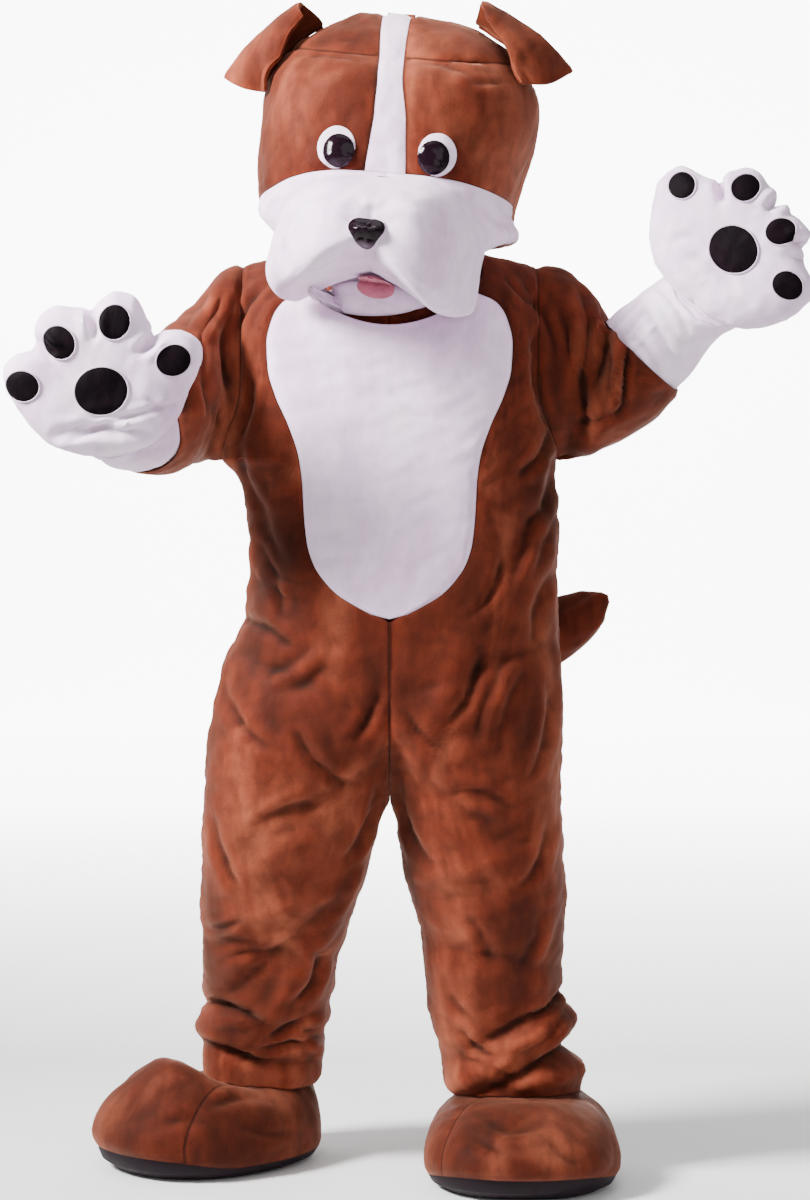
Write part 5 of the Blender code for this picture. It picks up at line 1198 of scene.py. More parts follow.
def build_head():
    for piece in sewn(head_panels(), HEAD_FOAM, head_finish, creases=HEAD_CREASES,
                      keep_side=side_of, seed=11):
        moved(piece, leaned)
        on_head(piece)


def face_piece(node, slot, size, tree, out=AHEAD, side=1, **shape):
    """A rounded piece laid on the face, where its table says, and the edge of its under side."""
    centre = np.array([side * size["x"], -0.2, size["z"]])
    wide, tall = (size["half_wide"], 0, 0), (0, 0, size["half_tall"])
    grids = laid(centre, wide, tall, out, size["rise"], tree, **shape)
    return on_head(walled(node, slot, grids)), grids[1][-1]


def nose_outline(turn):
    """A rounded triangle with its point down."""
    return 1 + 0.13 * np.sin(3 * turn)


def build_eyes():
    shell = head_shell()
    face = surface_of(shell)
    for side_name, side in SIDES.items():
        out = (side * 0.15, -1, 0.1)
        white, _ = face_piece("eye_white_" + side_name, "eye_white_fabric", EYE, face, out, side)
        face_piece("pupil_" + side_name, "eye_black_gloss", PUPIL, surface_of([white, *shell]), out, side,
                   blunt=1.0)


def muzzle_grids(tree):
    """The muzzle's outer and back grids. Its upper edge is sewn flush, and its lower edge hangs loose."""
    count = len(MUZZLE_OUTLINE["x"])
    steps = np.linspace(0, count - 1, MUZZLE_TURN)
    x, z = (curve(range(count), MUZZLE_OUTLINE[axis], steps) for axis in ("x", "z"))
    x, z = np.concatenate([x, -x[-2:0:-1]]), np.concatenate([z, z[-2:0:-1]])
    hangs = MUZZLE_SAG
    sag, left = eased(-z / hangs["over"]), np.clip(x / hangs["half_wide"], 0, 1)
    x, z = x - sag * (hangs["aside"] + hangs["left_aside"] * left), z - hangs["left_drop"] * sag * left
    loose = eased((MUZZLE_LOOSE["from_z"] - z) / MUZZLE_LOOSE["over"])
    x, z = x * (1 + MUZZLE_FLUSH["wider"] * (1 - loose)), z + MUZZLE_FLUSH["higher"] * (1 - loose)
    rings = np.sin(np.linspace(0, math.pi / 2, MUZZLE_RINGS + 1))[:, None]
    grid = np.stack([MUZZLE_MIDDLE[0] + rings * (x - MUZZLE_MIDDLE[0]), 0 * rings * x,
                     MUZZLE_MIDDLE[1] + rings * (z - MUZZLE_MIDDLE[1])], axis=-1)
    face = landed(tree, grid + np.array([0, MUZZLE_BACK_Y, 0]), AHEAD)[..., 1]
    back_y = (np.minimum(face, MUZZLE_BACK_Y) * loose + face * (1 - loose)) - MUZZLE_GAP
    crown = (1 - rings ** 2.6) ** (0.95 - 0.40 * loose)
    lobes = np.exp(-((np.abs(grid[..., 0]) - JOWL["x"]) / JOWL["width"]) ** 2)
    lobes = JOWL["depth"] * lobes * (1 - rings ** 2)
    rim = FLUSH_RIM + (MUZZLE_RIM - FLUSH_RIM) * loose
    hanging = MUZZLE_FRONT_Y["rim_back"] * rings + MUZZLE_FRONT_Y["middle"]
    base = hanging * loose + (back_y - rim) * (1 - loose)
    normals = np.zeros_like(grid) + np.array(AHEAD, float)
    creases = crease_depth(grid, normals, MUZZLE_CREASES) * bpy.context.scene.costume_cloth.creasing
    uneven = dimples(grid, 17, MUZZLE_DIMPLE) * (1 - rings ** 4)
    front_y = base - MUZZLE_DEPTH * crown - lobes - creases - uneven
    outer, inner = grid.copy(), grid.copy()
    inner[..., 1] = back_y
    outer[..., 1] = np.minimum(front_y, back_y - rim)
    return outer, inner


def build_muzzle():
    face = surface_of(head_shell())
    muzzle = on_head(walled("muzzle", "white_plush", muzzle_grids(face)))
    nose, rim = face_piece("nose", "nose_gloss", NOSE, surface_of([muzzle]), outline=nose_outline, blunt=1.1)
    # The white cord round the nose is a painted highlight: the bright ring on the glossy nose's rim.
    rim_loop = rim + np.array([0, -RIM_CORD_RADIUS / 2, 0])
    on_head(tube("piping.nose", rim_loop, np.array(AHEAD, float), RIM_CORD_RADIUS, "white_plush", nose))
    chin, _ = face_piece("chin", "white_plush", CHIN, face)
    tongue, _ = face_piece("tongue", "tongue_felt", TONGUE, surface_of([chin]))


def build_ears():
    tree = surface_of(head_shell())
    pile = bpy.context.scene.costume_cloth.pile
    share = np.linspace(0, 1, EAR_COLUMNS + 1)[None, :, None]
    for side_name, side in SIDES.items():
        sections = np.array(EAR_SECTIONS[side_name])
        rows = np.linspace(0, len(sections) - 1, EAR_ROWS + 1)
        columns = np.stack([curve(range(len(sections)), column, rows) for column in sections.T], axis=-1)
        grid = columns[:, None, :3] * (1 - share) + columns[:, None, 3:] * share
        swell = np.sin(share * math.pi) * EAR_SWELL * np.linspace(0.2, 1, EAR_ROWS + 1)[:, None, None]
        grid = grid + swell * EAR_SWELL_WAY * np.array([side, 1, 1])
        away = grid - HEAD_CORE
        reach = np.linalg.norm(away, axis=-1)
        away = away / reach[..., None]
        skin = np.array([[(landed(tree, point, way, 0.25) - HEAD_CORE) @ way for point, way in zip(*row)]
                         for row in zip(grid, away)])
        clear = np.maximum(reach - skin, EAR_CLEAR)
        clear[0] = EAR_CLOTH + EAR_ROOT_GAP
        clear[1:4] = np.linspace(clear[0], clear[4], 5)[1:4]
        grid = facing_out(HEAD_CORE + away * (skin + clear)[..., None], EAR_MIDDLE * np.array([side, 1, 1]))
        wave = dimples(grid, 23 + side, EAR_DIMPLE) * np.linspace(0, 1, EAR_ROWS + 1)[:, None]
        grid = grid + vertex_normals([grid])[0] * wave[..., None]
        normal = vertex_normals([grid])[0]
        inset = 1 - np.exp(-(edge_distance(grid) / STITCH_WIDTH) ** 2)
        under = grid - normal * EAR_CLOTH
        lining = (under - normal * SEAM_GAP)[1:]
        # The linings take a darker copy of the brown plush, a painted shade inside the ears.
        for node, grids, finish in (
                ("ear_outer_", (grid + normal * (pile * inset)[..., None], under), "brown_plush"),
                ("ear_lining_", (lining, lining - normal[1:] * EAR_LINING), "brown_lining")):
            piece = on_head(walled(node + side_name, "brown_plush", grids, False, finish))


def seat_head():
    """Rolls and turns every head piece as one."""
    pieces = [thing for thing in bpy.data.objects if thing.get("on_head")]
    if not pieces:
        raise RuntimeError("make the head first")
    for thing in pieces:
        moved(thing, head_turn)
        del thing["on_head"]


# ---------------------------------------------------------------- suit

def half_width(side_name, z):
    return np.where(z > ARMPIT_Z, ARMPIT_X, read(SUIT_WIDTHS, side_name, z))


def ring_centre(side_name, z):
    """Where the half ring of one side has its centre: the mid plane in the body, the leg's middle below."""
    outer = half_width(side_name, z)
    down = np.clip((HIP_Z - z) / (HIP_Z - CROTCH_Z), 0, 1)
    in_body = 0.5 * outer * (3 * down ** 2 - 2 * down ** 3) + CROTCH_SPREAD * (down ** 3 - down ** 2)
    in_leg = 0.5 * (outer + read(LEG_GAPS, side_name, z))
    return np.where(z > CROTCH_Z, in_body, in_leg)


def shoulder_height(x):
    inside = 1 - np.minimum(np.abs(x) / NECK_X, 1) ** 2
    return NECK_Z + NECK_DOME * inside - SHOULDER_SLOPE * np.maximum(np.abs(x) - NECK_X, 0)


def suit_point(side_name, face, angle, z, x=None):
    """A point of the suit. The angle is 0 at the side seam and 90 degrees at the middle of the body."""
    side = SIDES[side_name]
    centre = ring_centre(side_name, z)
    reach = half_width(side_name, z) - centre
    if x is None:
        x = centre + reach * power(np.cos(angle), 2 / SQUARENESS)
        rise = np.abs(np.sin(angle)) ** (2 / SQUARENESS)
    else:
        rise = (1 - np.minimum(np.abs((x - centre) / reach), 1) ** SQUARENESS) ** (1 / SQUARENESS)
    chest = np.clip((z - CHEST_TOP_Z) / (shoulder_height(x) - CHEST_TOP_Z), 0, 1)
    rise = rise * (1 - chest ** 2.2) ** (1 / 2.2)
    depth = read(SUIT_DEPTHS, "front" if face == FRONT else "back", z)
    back_by = ANKLE_Y[side_name] * eased((CROTCH_Z - z) / 0.5)
    return np.stack([side * x, back_by + face * depth * rise, z + 0 * x], axis=-1)


def middle_angle(side_name, z, x):
    """The angle at which the ring stands at this distance from the mid plane."""
    centre = ring_centre(side_name, z)
    reach = half_width(side_name, z) - centre
    fraction = np.clip((x - centre) / reach, -1, 1)
    return np.arccos(power(fraction, SQUARENESS / 2))


def armhole_x(z):
    return ARMPIT_X - (ARMPIT_X - ARMHOLE_X) * eased((z - ARMPIT_Z) / ARMHOLE_EASE)


def armhole_z(step):
    middle, half = (SHOULDER_Z + ARMPIT_Z) / 2, (SHOULDER_Z - ARMPIT_Z) / 2
    return middle + half * math.sin(math.pi * (step - 0.5))


def suit_row(side_name, face, z_out, x_out, z_in, x_in):
    """One row of a panel, from its outer end to its inner end."""
    start = middle_angle(side_name, z_out, x_out)
    end = middle_angle(side_name, z_in, x_in)
    angles = np.linspace(start, end, PANEL_COLUMNS + 1)
    share = np.linspace(0, 1, PANEL_COLUMNS + 1)
    for _ in range(3):
        z = z_out + (z_in - z_out) * share
        centre = ring_centre(side_name, z)
        x = centre + (half_width(side_name, z) - centre) * power(np.cos(angles), 2 / SQUARENESS)
        share = (x - x_out) / (x_in - x_out)
    x[0], x[-1] = x_out, x_in
    z = z_out + (z_in - z_out) * np.clip(share, 0, 1)
    z[0], z[-1] = z_out, z_in
    if z_out < ARMPIT_Z:
        return suit_point(side_name, face, angles, z)
    return suit_point(side_name, face, None, z, x)


def bib_half_width(z):
    return float(read(BIB_WIDTHS, "half", z))


def bib_height(edge_z, share):
    """How a row of the bib bends down to the neckline's scoop at its top and to the point at its bottom."""
    scoop = BIB_DIP * eased((edge_z - SCOOP["from_z"]) / SCOOP["over"]) * (1 - share ** 2)
    point = BIB_POINT * (1 - share) * np.clip((POINT["from_z"] - edge_z) / POINT["over"], 0, 1)
    return edge_z - scoop - point


def suit_side(side_name):
    """The grids of one side's front and back, and the half of the bib, from the shoulder to the hem."""
    front, back, bib = [], [], []
    share = np.linspace(1, 0, BIB_COLUMNS + 1)

    def add_rows(z_out, x_out, z_in, x_in, back_z, back_x, bib_x=None):
        front.append(suit_row(side_name, FRONT, z_out, x_out, z_in, x_in))
        back.append(suit_row(side_name, BACK, z_out, x_out, back_z, back_x))
        if bib_x is not None:
            bib.append(suit_point(side_name, FRONT, None, bib_height(z_in, share), share * bib_x))

    for step in reversed(ARMHOLE_STEPS):
        z_out = armhole_z(step)
        x_out = float(armhole_x(z_out)) if step > 0 else ARMPIT_X
        if step <= BIB_TOP + 1e-9:
            rise = step / BIB_TOP
            z_in = ARMPIT_Z + (BIB_TOP_Z - ARMPIT_Z) * rise
            x_in = bib_half_width(z_in)
            add_rows(z_out, x_out, z_in, x_in, ARMPIT_Z + (BACK_NECK_Z - ARMPIT_Z) * rise, 0.0, x_in)
        else:
            past = (step - BIB_TOP) / (1 - BIB_TOP)
            z_in = BIB_TOP_Z + (NECK_Z - BIB_TOP_Z) * past
            x_in = NECK_X - 0.004 * (1 - past) + 0.006 * math.sin(math.pi * past)
            x_in = x_in + (float(BIB_WIDTHS["half"][-1]) - x_in) * eased(1 - past / 0.4)
            add_rows(z_out, x_out, z_in, x_in, BACK_NECK_Z + (NECK_Z - BACK_NECK_Z) * past ** 2,
                     NECK_X * past ** 0.8)
    for z in BIB_ROWS:
        add_rows(z, float(half_width(side_name, z)), z, bib_half_width(z), z, 0.0, bib_half_width(z))
    for z in HIP_ROWS:
        past = min((BIB_BOTTOM_Z - z) / POINT["closes_over"], 1.0)
        z_mid = BIB_BOTTOM_Z - BIB_POINT * past if past < 1 else min(z, BIB_BOTTOM_Z - BIB_POINT)
        add_rows(z, float(half_width(side_name, z)), z_mid, BIB_WIDTHS["half"][0] * (1 - past), z, 0.0)
    turn = np.linspace(0, math.pi, PANEL_COLUMNS + 1)
    for z in LEG_ROWS:
        for face, rows in ((FRONT, front), (BACK, back)):
            rows.append(suit_point(side_name, face, turn, np.full(PANEL_COLUMNS + 1, z)))
    return np.array(front), np.array(back), np.array(bib)


def sleeve(side_name, front, back):
    """Rings from the armhole's own points to the cuff."""
    count = len(ARMHOLE_STEPS)
    loop = np.concatenate([front[:count, 0], back[1:count - 1, 0][::-1]])
    steps = np.array(ARMHOLE_STEPS[::-1])
    lift = np.concatenate([steps, steps[1:-1][::-1]]) * math.pi - math.pi / 2
    forward = np.concatenate([np.ones(count), -np.ones(count - 2)])
    side = SIDES[side_name]
    aside, half_tall, half_deep = ARMHOLE_SECTION.values()
    middle = np.array([side * (ARMHOLE_X + aside), 0.0, (SHOULDER_Z + ARMPIT_Z) / 2])
    armhole = np.concatenate([middle, [side * -aside, 0, half_tall], [0, -half_deep, 0]])
    sections = np.vstack([armhole, SLEEVE_SECTIONS[side_name]])
    rows = [loop]
    for at in np.linspace(0, len(sections) - 1, SLEEVE_ROWS + 1)[1:]:
        section = [curve(range(len(sections)), column, at) for column in sections.T]
        centre, up, out = (np.array(section[k:k + 3]) for k in (0, 3, 6))
        ring = centre + np.sin(lift)[:, None] * up + (np.cos(lift) * forward)[:, None] * out
        share = eased(at / ARMHOLE_BLEND)
        rows.append((1 - share) * (loop + centre - middle) + share * ring)
    grid = np.array(rows)
    return grid if side_name == "left" else grid[:, ::-1]


def rest_hems(panels, shoes):
    """The trouser hems break on the tops of the shoe covers, and the cloth over them follows."""
    for name, grid in panels.items():
        if not name.startswith(("suit_front", "suit_back")):
            continue
        share = eased(1 - (grid[:, 0, 2] - grid[-1, 0, 2]) / HEM_BLEND)
        for column, point in enumerate(grid[-1].copy()):
            above = Vector((point[0], point[1], point[2] + HEM_SEARCH))
            hit = shoes.ray_cast(above, Vector((0, 0, -1)), 2 * HEM_SEARCH)[0]
            if hit is not None:
                shift = np.clip(hit.z + HEM_GAP - point[2], -HEM_REACH, HEM_REACH)
                grid[:, column, 2] += shift * share


def met(left, right):
    """Gives the points that both sides have on the mid plane one place."""
    on_middle = (np.abs(left[:, -1, 0]) < SEAM_GAP) & (left[:, -1, 2] >= CROTCH_Z)
    middle = 0.5 * (left[on_middle, -1] + right[on_middle, -1])
    left[on_middle, -1], right[on_middle, -1] = middle, middle


def build_suit():
    uppers = [f"shoe_upper_{part}_{side}" for part in ("inner", "outer") for side in SIDES]
    shoes = surface_of(made_before(*uppers))
    panels, halves = {}, {}
    grids = {side_name: suit_side(side_name) for side_name in SIDES}
    for left, right in zip(grids["left"][:2], grids["right"]):
        met(left, right)
    for side_name, side in SIDES.items():
        front, back, halves[side_name] = grids[side_name]
        leg = INSIDE_LEG * np.array([side, 1, 1])
        panels["suit_front_" + side_name] = facing_out(front, leg)
        panels["suit_back_" + side_name] = facing_out(back, leg)
        arm = sleeve(side_name, front, back)
        panels["sleeve_" + side_name] = facing_out(arm, np.mean(arm, axis=1, keepdims=True), ring=True)
    bib = np.concatenate([halves["right"], halves["left"][:, ::-1][:, 1:]], axis=1)
    panels["bib"] = facing_out(bib, np.array(BODY_MIDDLE))
    rest_hems(panels, shoes)
    sewn(panels, PLUSH, lambda node: "white_plush" if node == "bib" else "brown_plush", FOLDS,
         CREASES, ["sleeve_" + side_name for side_name in SIDES], side_of, seed=5)


# ---------------------------------------------------------------- mitts

def mitt_axes(side_name):
    """The middle of a palm, its middle axis, its side axis towards the thumb, and the way that it faces."""
    mitt = MITTS[side_name]
    faces = unit(mitt["faces"])
    up = square_to(mitt["up"], faces)
    return np.array(mitt["palm"]), up, mitt["turn"] * unit(np.cross(up, faces)), faces


def inside_cuff(gauntlet, sleeve_tree, play):
    """The gauntlet with its last two rings drawn in to clear the inside of the sleeve."""
    room = np.ones(gauntlet.shape[1])
    for share in (0.2, 0.4, 0.6, 0.8, 1.0):
        ring = gauntlet[-2] * (1 - share) + gauntlet[-1] * share
        middle = np.mean(ring, axis=0)
        for j, point in enumerate(ring):
            distance = sleeve_tree.ray_cast(Vector(middle), Vector(unit(point - middle)), WRIST_SEARCH)[3]
            room[j] = min(room[j], distance or 1.0)
    room = np.minimum(room, np.minimum(np.roll(room, 1), np.roll(room, -1))) - play
    for ring in (gauntlet[-2], gauntlet[-1]):
        middle = np.mean(ring, axis=0)
        reach = np.linalg.norm(ring - middle, axis=-1)
        ring[:] = middle + (ring - middle) * (np.minimum(reach, room) / reach)[:, None]
    return gauntlet


def mitt_grids(side_name):
    """The palm's, the back's and the gauntlet's grids."""
    mitt = MITTS[side_name]
    palm_at, up, side, faces = mitt_axes(side_name)
    degrees = np.linspace(-180, 180, MITT_POINTS, endpoint=False)
    reach = curve(PAW_OUTLINES[side_name]["angle"], PAW_OUTLINES[side_name]["radius"], degrees)
    turn = np.radians(degrees)
    spokes = np.cos(turn)[:, None] * up + np.sin(turn)[:, None] * side
    edge = palm_at + spokes * reach[:, None]
    shares = np.sin(np.linspace(0, math.pi / 2, PALM_ROWS))[:, None, None]
    palm = palm_at + shares * (edge - palm_at)[None] + faces * PALM_RISE * (1 - shares ** 4) ** 0.5

    hole_at = palm_at + up * mitt["hole"][0] + faces * mitt["hole"][1]
    hole_way = unit(-faces - up * mitt["hole_tilt"])
    hole_up = square_to(up, hole_way)
    hole_side = square_to(side, hole_way, hole_up)
    hole_ring = ring_at(hole_at, mitt["wrist"], turn, hole_up, hole_side)
    steps = (np.linspace(0, 1, MITT_BACK_ROWS) ** 1.3)[:, None, None]
    span = np.linalg.norm(edge - hole_ring, axis=1)[None, :, None]
    bulge = np.minimum(0.30 * span, BACK_RISE) * np.sin(math.pi * steps ** 0.75)
    back = edge * (1 - steps) + hole_ring * steps - faces * bulge

    rows = [hole_ring]
    for at in range(len(GAUNTLETS[side_name]["x"])):
        centre, way, radius = path_at(GAUNTLETS[side_name], at)
        first = square_to(hole_up, way)
        rows.append(ring_at(centre, radius, turn, first, square_to(hole_side, way, first)))
    sleeve_tree = surface_of(made_before("sleeve_" + side_name))
    play = CUFF_PLAY[side_name] + CUFF_CREASE_ROOM
    return palm, back, finer(inside_cuff(np.array(rows), sleeve_tree, play), GAUNTLET_ROWS)


def creased_paw(grid, normal, side_name):
    """The grid with the valleys between the toes and the folds across the heel pressed in."""
    palm_at, up, side, faces = mitt_axes(side_name)
    flat, turned = (np.stack([way @ side, -(way @ faces), way @ up], axis=-1)
                    for way in (grid - palm_at, normal))
    depth = crease_depth(flat, turned, PAW_CREASES + HEEL_CREASES[side_name])
    return grid + normal * (depth * bpy.context.scene.costume_cloth.creasing)[..., None]


def build_mitts():
    pile = bpy.context.scene.costume_cloth.mitt_pile
    for side_name in SIDES:
        palm_at = np.array(MITTS[side_name]["palm"])
        names = [f"mitt_{piece}_{side_name}" for piece in ("palm", "back", "cuff")]
        panels = {}
        for name, grid in zip(names, mitt_grids(side_name)):
            middle = np.mean(grid, axis=1, keepdims=True) if name == names[2] else palm_at
            panels[name] = facing_out(grid, middle, ring=True)
        normals = vertex_normals(list(panels.values()), (0, 1, 2))
        for name, normal in zip(names[:2], normals):
            panels[name] = creased_paw(panels[name], normal, side_name)
        sewn(panels, MITT_CLOTH, lambda node: "white_plush", creases=MITT_CREASES, rings=names,
             domes=names[:1], pile=pile, seed=31 + SIDES[side_name])


def build_pads():
    for side_name in SIDES:
        palm_at, up, side, faces = mitt_axes(side_name)
        tree = surface_of(made_before(f"mitt_palm_{side_name}"))
        pads = [(f"mitt_palm_pad_{side_name}", palm_at, PALM_PAD["wide"] * side, PALM_PAD["tall"] * up)]
        toes = TOE_PADS[side_name]
        wide, tall = toes["half"]
        for number, (angle, out) in enumerate(zip(np.radians(toes["angle"]), toes["out"]), start=1):
            along = math.cos(angle) * up + math.sin(angle) * side
            across = unit(np.cross(along, faces))
            pads.append((f"mitt_toe_pad_{number}_{side_name}", palm_at + along * out, wide * across,
                         tall * along))
        for node, centre, wide, tall in pads:
            grids = laid(centre, wide, tall, faces, PAD_RISE, tree)
            pad = walled(node, "black_pad_fabric", grids)
            rim_loop = grids[1][-1] + faces * PAD_EDGING_RISE
            tube("piping." + node, rim_loop, faces, RIM_CORD_RADIUS, "white_plush", pad)


# ---------------------------------------------------------------- shoe covers

def build_shoes():
    up = np.array([0.0, 0.0, 1.0])
    for side_name, shoe in SHOES.items():
        heading = math.radians(shoe["heading"])
        ahead = np.array([-math.sin(heading), -math.cos(heading), 0.0])
        across = np.array([math.cos(heading), -math.sin(heading), 0.0])
        ankle_x = SIDES[side_name] * float(ring_centre(side_name, LEG_ROWS[-1])) + shoe["aside"]
        centre = np.array([ankle_x, ANKLE_Y[side_name], FLOOR_Z]) + ahead * ANKLE_BACK
        turn = np.radians(shoe["seam"]) + np.linspace(0, 2 * math.pi, SHOE_POINTS, endpoint=False)
        forward = power(np.cos(turn), 0.9) * SHOE_HALF_LENGTH
        sideways = power(np.sin(turn), 0.9) * SHOE_HALF_WIDTH * (1 + 0.10 * np.cos(turn))
        welt = SIDE_SPRING + (TOE_SPRING - SIDE_SPRING) * eased((forward / SHOE_HALF_LENGTH - 0.2) / 0.8)
        opening = (-ANKLE_BACK + np.cos(turn) * ANKLE_RADIUS, np.sin(turn) * ANKLE_RADIUS * 0.95)
        rows = []
        for height in np.linspace(ANKLE_COLLAR, 0, COLLAR_ROWS + 1)[:-1]:
            rows.append(centre + opening[0][:, None] * ahead + opening[1][:, None] * across
                        + (SHOE_TOP + height) * up)
        for step in np.linspace(0, 1, SHOE_ROWS):
            out = math.sin(step * math.pi / 2 * OVERHANG) / math.sin(math.pi / 2 * OVERHANG)
            out = min(out, LARGEST_OVERHANG)
            height = math.cos(step * math.pi / 2)
            top = SHOE_TOP * (1 - 0.10 * np.clip(forward / SHOE_HALF_LENGTH, 0, 1) * step)
            x = opening[0] * (1 - out) + forward * out
            y = opening[1] * (1 - out) + sideways * out
            toe = np.exp(-((x / SHOE_HALF_LENGTH - TOE["ahead"]) / TOE["length"]) ** 2
                         - (y / SHOE_HALF_WIDTH / TOE["width"]) ** 2)
            toe_rise = shoe["toe_rise"] * toe * eased(step / TOE["blends_over"])
            z = welt + (top - welt + toe_rise) * height
            rows.append(centre + x[:, None] * ahead + y[:, None] * across + z[:, None] * up)
        upper = np.array(rows)
        half = SHOE_POINTS // 2
        halves = upper[:, :half + 1], np.concatenate([upper[:, half:], upper[:, :1]], axis=1)
        names = ("inner", "outer") if side_name == "left" else ("outer", "inner")
        panels = {f"shoe_upper_{name}_{side_name}": facing_out(grid, centre + up * 0.05)
                  for name, grid in zip(names, halves)}
        # The uppers take a darker copy of the brown plush, a painted shade.
        sewn(panels, SHOE_WALL, lambda node: "brown_plush", creases=SHOE_CREASES,
             seed=41 + SIDES[side_name], finish="brown_shoe_plush")

        shares = np.unique(np.concatenate([SOLE_LEVELS, np.linspace(0, 1, SOLE_ROWS)]))[:, None, None]
        rim = centre + forward[:, None] * ahead * SOLE_INSET + sideways[:, None] * across * SOLE_INSET
        flat = centre + shares * (rim - centre)[None]
        dished = (welt - SEAM_GAP) * (0.2 + 0.8 * shares[..., 0] ** 2)
        top = flat + up * dished[..., None]
        top[..., 2] = np.maximum(top[..., 2], FLOOR_Z + SOLE_THICKNESS)
        rise = np.interp(shares[:, 0, 0], SOLE_LEVELS, SOLE_RISE)[:, None] * (welt - SEAM_GAP)
        walled("shoe_sole_" + side_name, "black_sole", (top, flat + up * rise[..., None]))


# ---------------------------------------------------------------- tail and back opening

def back_skin(tree, x, z):
    """How far back a piece sewn on the outside of the suit's back starts."""
    beside_seam = x if abs(x) > 0.001 else 0.001
    return tree.ray_cast(Vector((beside_seam, 0.5, z)), Vector((0, -1, 0)))[0].y + TAIL_GAP


def build_tail():
    turn = np.linspace(0, 2 * math.pi, TAIL_POINTS, endpoint=False)
    rows = []
    for at in np.linspace(0, len(TAIL_PATH["x"]) - 1, TAIL_ROWS):
        centre, way, radius = path_at(TAIL_PATH, at)
        first = square_to((0, 0, 1.0), way)
        rows.append(ring_at(centre, radius, turn, first, np.cross(way, first), TAIL_FLAT))
    grid = np.array(rows)
    tree = surface_of(made_before("suit_back_left", "suit_back_right"))
    skin = np.array([back_skin(tree, x, z) for x, _, z in grid[0]])
    for row in range(TAIL_ROOT_ROWS + 1):
        share, nearest = eased(row / TAIL_ROOT_ROWS), skin + TAIL_ROOT_STEP * row
        grid[row, :, 1] = np.maximum(grid[row, :, 1], nearest) * share + nearest * (1 - share)
    grid = facing_out(grid, np.mean(grid, axis=1, keepdims=True), ring=True)
    normal = vertex_normals([grid], (0,))[0]
    uneven = dimples(grid, 53, TAIL_DIMPLE) * eased(np.arange(len(grid)) / 8)[:, None]
    grid = grid + normal * uneven[..., None]
    root, end = np.mean(grid[0], axis=0), np.mean(grid[-1], axis=0)
    tip = end + unit(end - np.mean(grid[-2], axis=0)) * TAIL_TIP
    root_ring = np.stack([np.tile(root, (TAIL_POINTS, 1)), 0.5 * (grid[0] + root)])
    cap = rested(tree, np.concatenate([root_ring, grid[:1]]), np.array([0.0, 1.0, 0.0]), TAIL_GAP)
    grid = np.concatenate([cap[:2], grid, np.tile(tip, (1, TAIL_POINTS, 1))])
    index = closed(np.arange(grid.shape[0] * TAIL_POINTS).reshape(grid.shape[:2]))
    faces = np.stack(corners(index), axis=-1).reshape(-1, 4)
    tail = joined(sewn_name("tail"), grid.reshape(-1, 3), faces.tolist(), material_of("brown_plush"))
    fitted(tail, "tail")


def build_placket():
    """The strip behind the centre-back opening, just inside the two back panels."""
    tree = surface_of(made_before("suit_back_left", "suit_back_right"))
    x, z = np.meshgrid(np.linspace(-PLACKET_HALF_WIDTH, PLACKET_HALF_WIDTH, PLACKET_COLUMNS),
                       np.linspace(PLACKET_TOP_Z, PLACKET_BOTTOM_Z, PLACKET_ROWS))
    grid = rested(tree, np.stack([x, 0 * x, z], axis=-1), np.array([0.0, -1.0, 0.0]), LAID_GAP, ring=False)
    strip = walled("back_placket", "brown_plush", (grid, grid - np.array([0, PLACKET_CLOTH, 0])), False)


# ---------------------------------------------------------------- stage

def stage_finish():
    """Pale paper whose far end is a painted glow, by emission: full and none at the places that the table
    gives.
    """
    material, tree, shader = shader_of("finish.studio")
    paper = grain(tree, 3, detail=2.0)
    tree.links.new(ramp(tree, paper, [(0.3, (0.93,) * 3), (0.7, (0.96,) * 3)]), shader.inputs["Base Color"])
    place = node_of(tree, "ShaderNodeSeparateXYZ")
    tree.links.new(node_of(tree, "ShaderNodeTexCoord").outputs["Object"], place.inputs[0])
    aside = node_of(tree, "ShaderNodeMath", operation="ABSOLUTE")
    tree.links.new(place.outputs["X"], aside.inputs[0])
    sources = {"y": place.outputs["Y"], "aside": aside.outputs[0], "z": place.outputs["Z"]}
    glow = None
    for name, source in sources.items():
        full, none = GLOW[name]
        share = node_of(tree, "ShaderNodeMapRange", From_Min=none, From_Max=full)
        tree.links.new(source, share.inputs["Value"])
        both = node_of(tree, "ShaderNodeMath", operation="MULTIPLY")
        tree.links.new(share.outputs["Result"], both.inputs[0])
        both.inputs[1].default_value = GLOW["strength"]
        if glow:
            tree.links.new(glow, both.inputs[1])
        glow = both.outputs[0]
    tree.links.new(glow, shader.inputs["Emission Strength"])
    dialled(shader, Emission_Color=(1, 1, 1, 1), Roughness=0.9, Specular_IOR_Level=0.1)
    return material


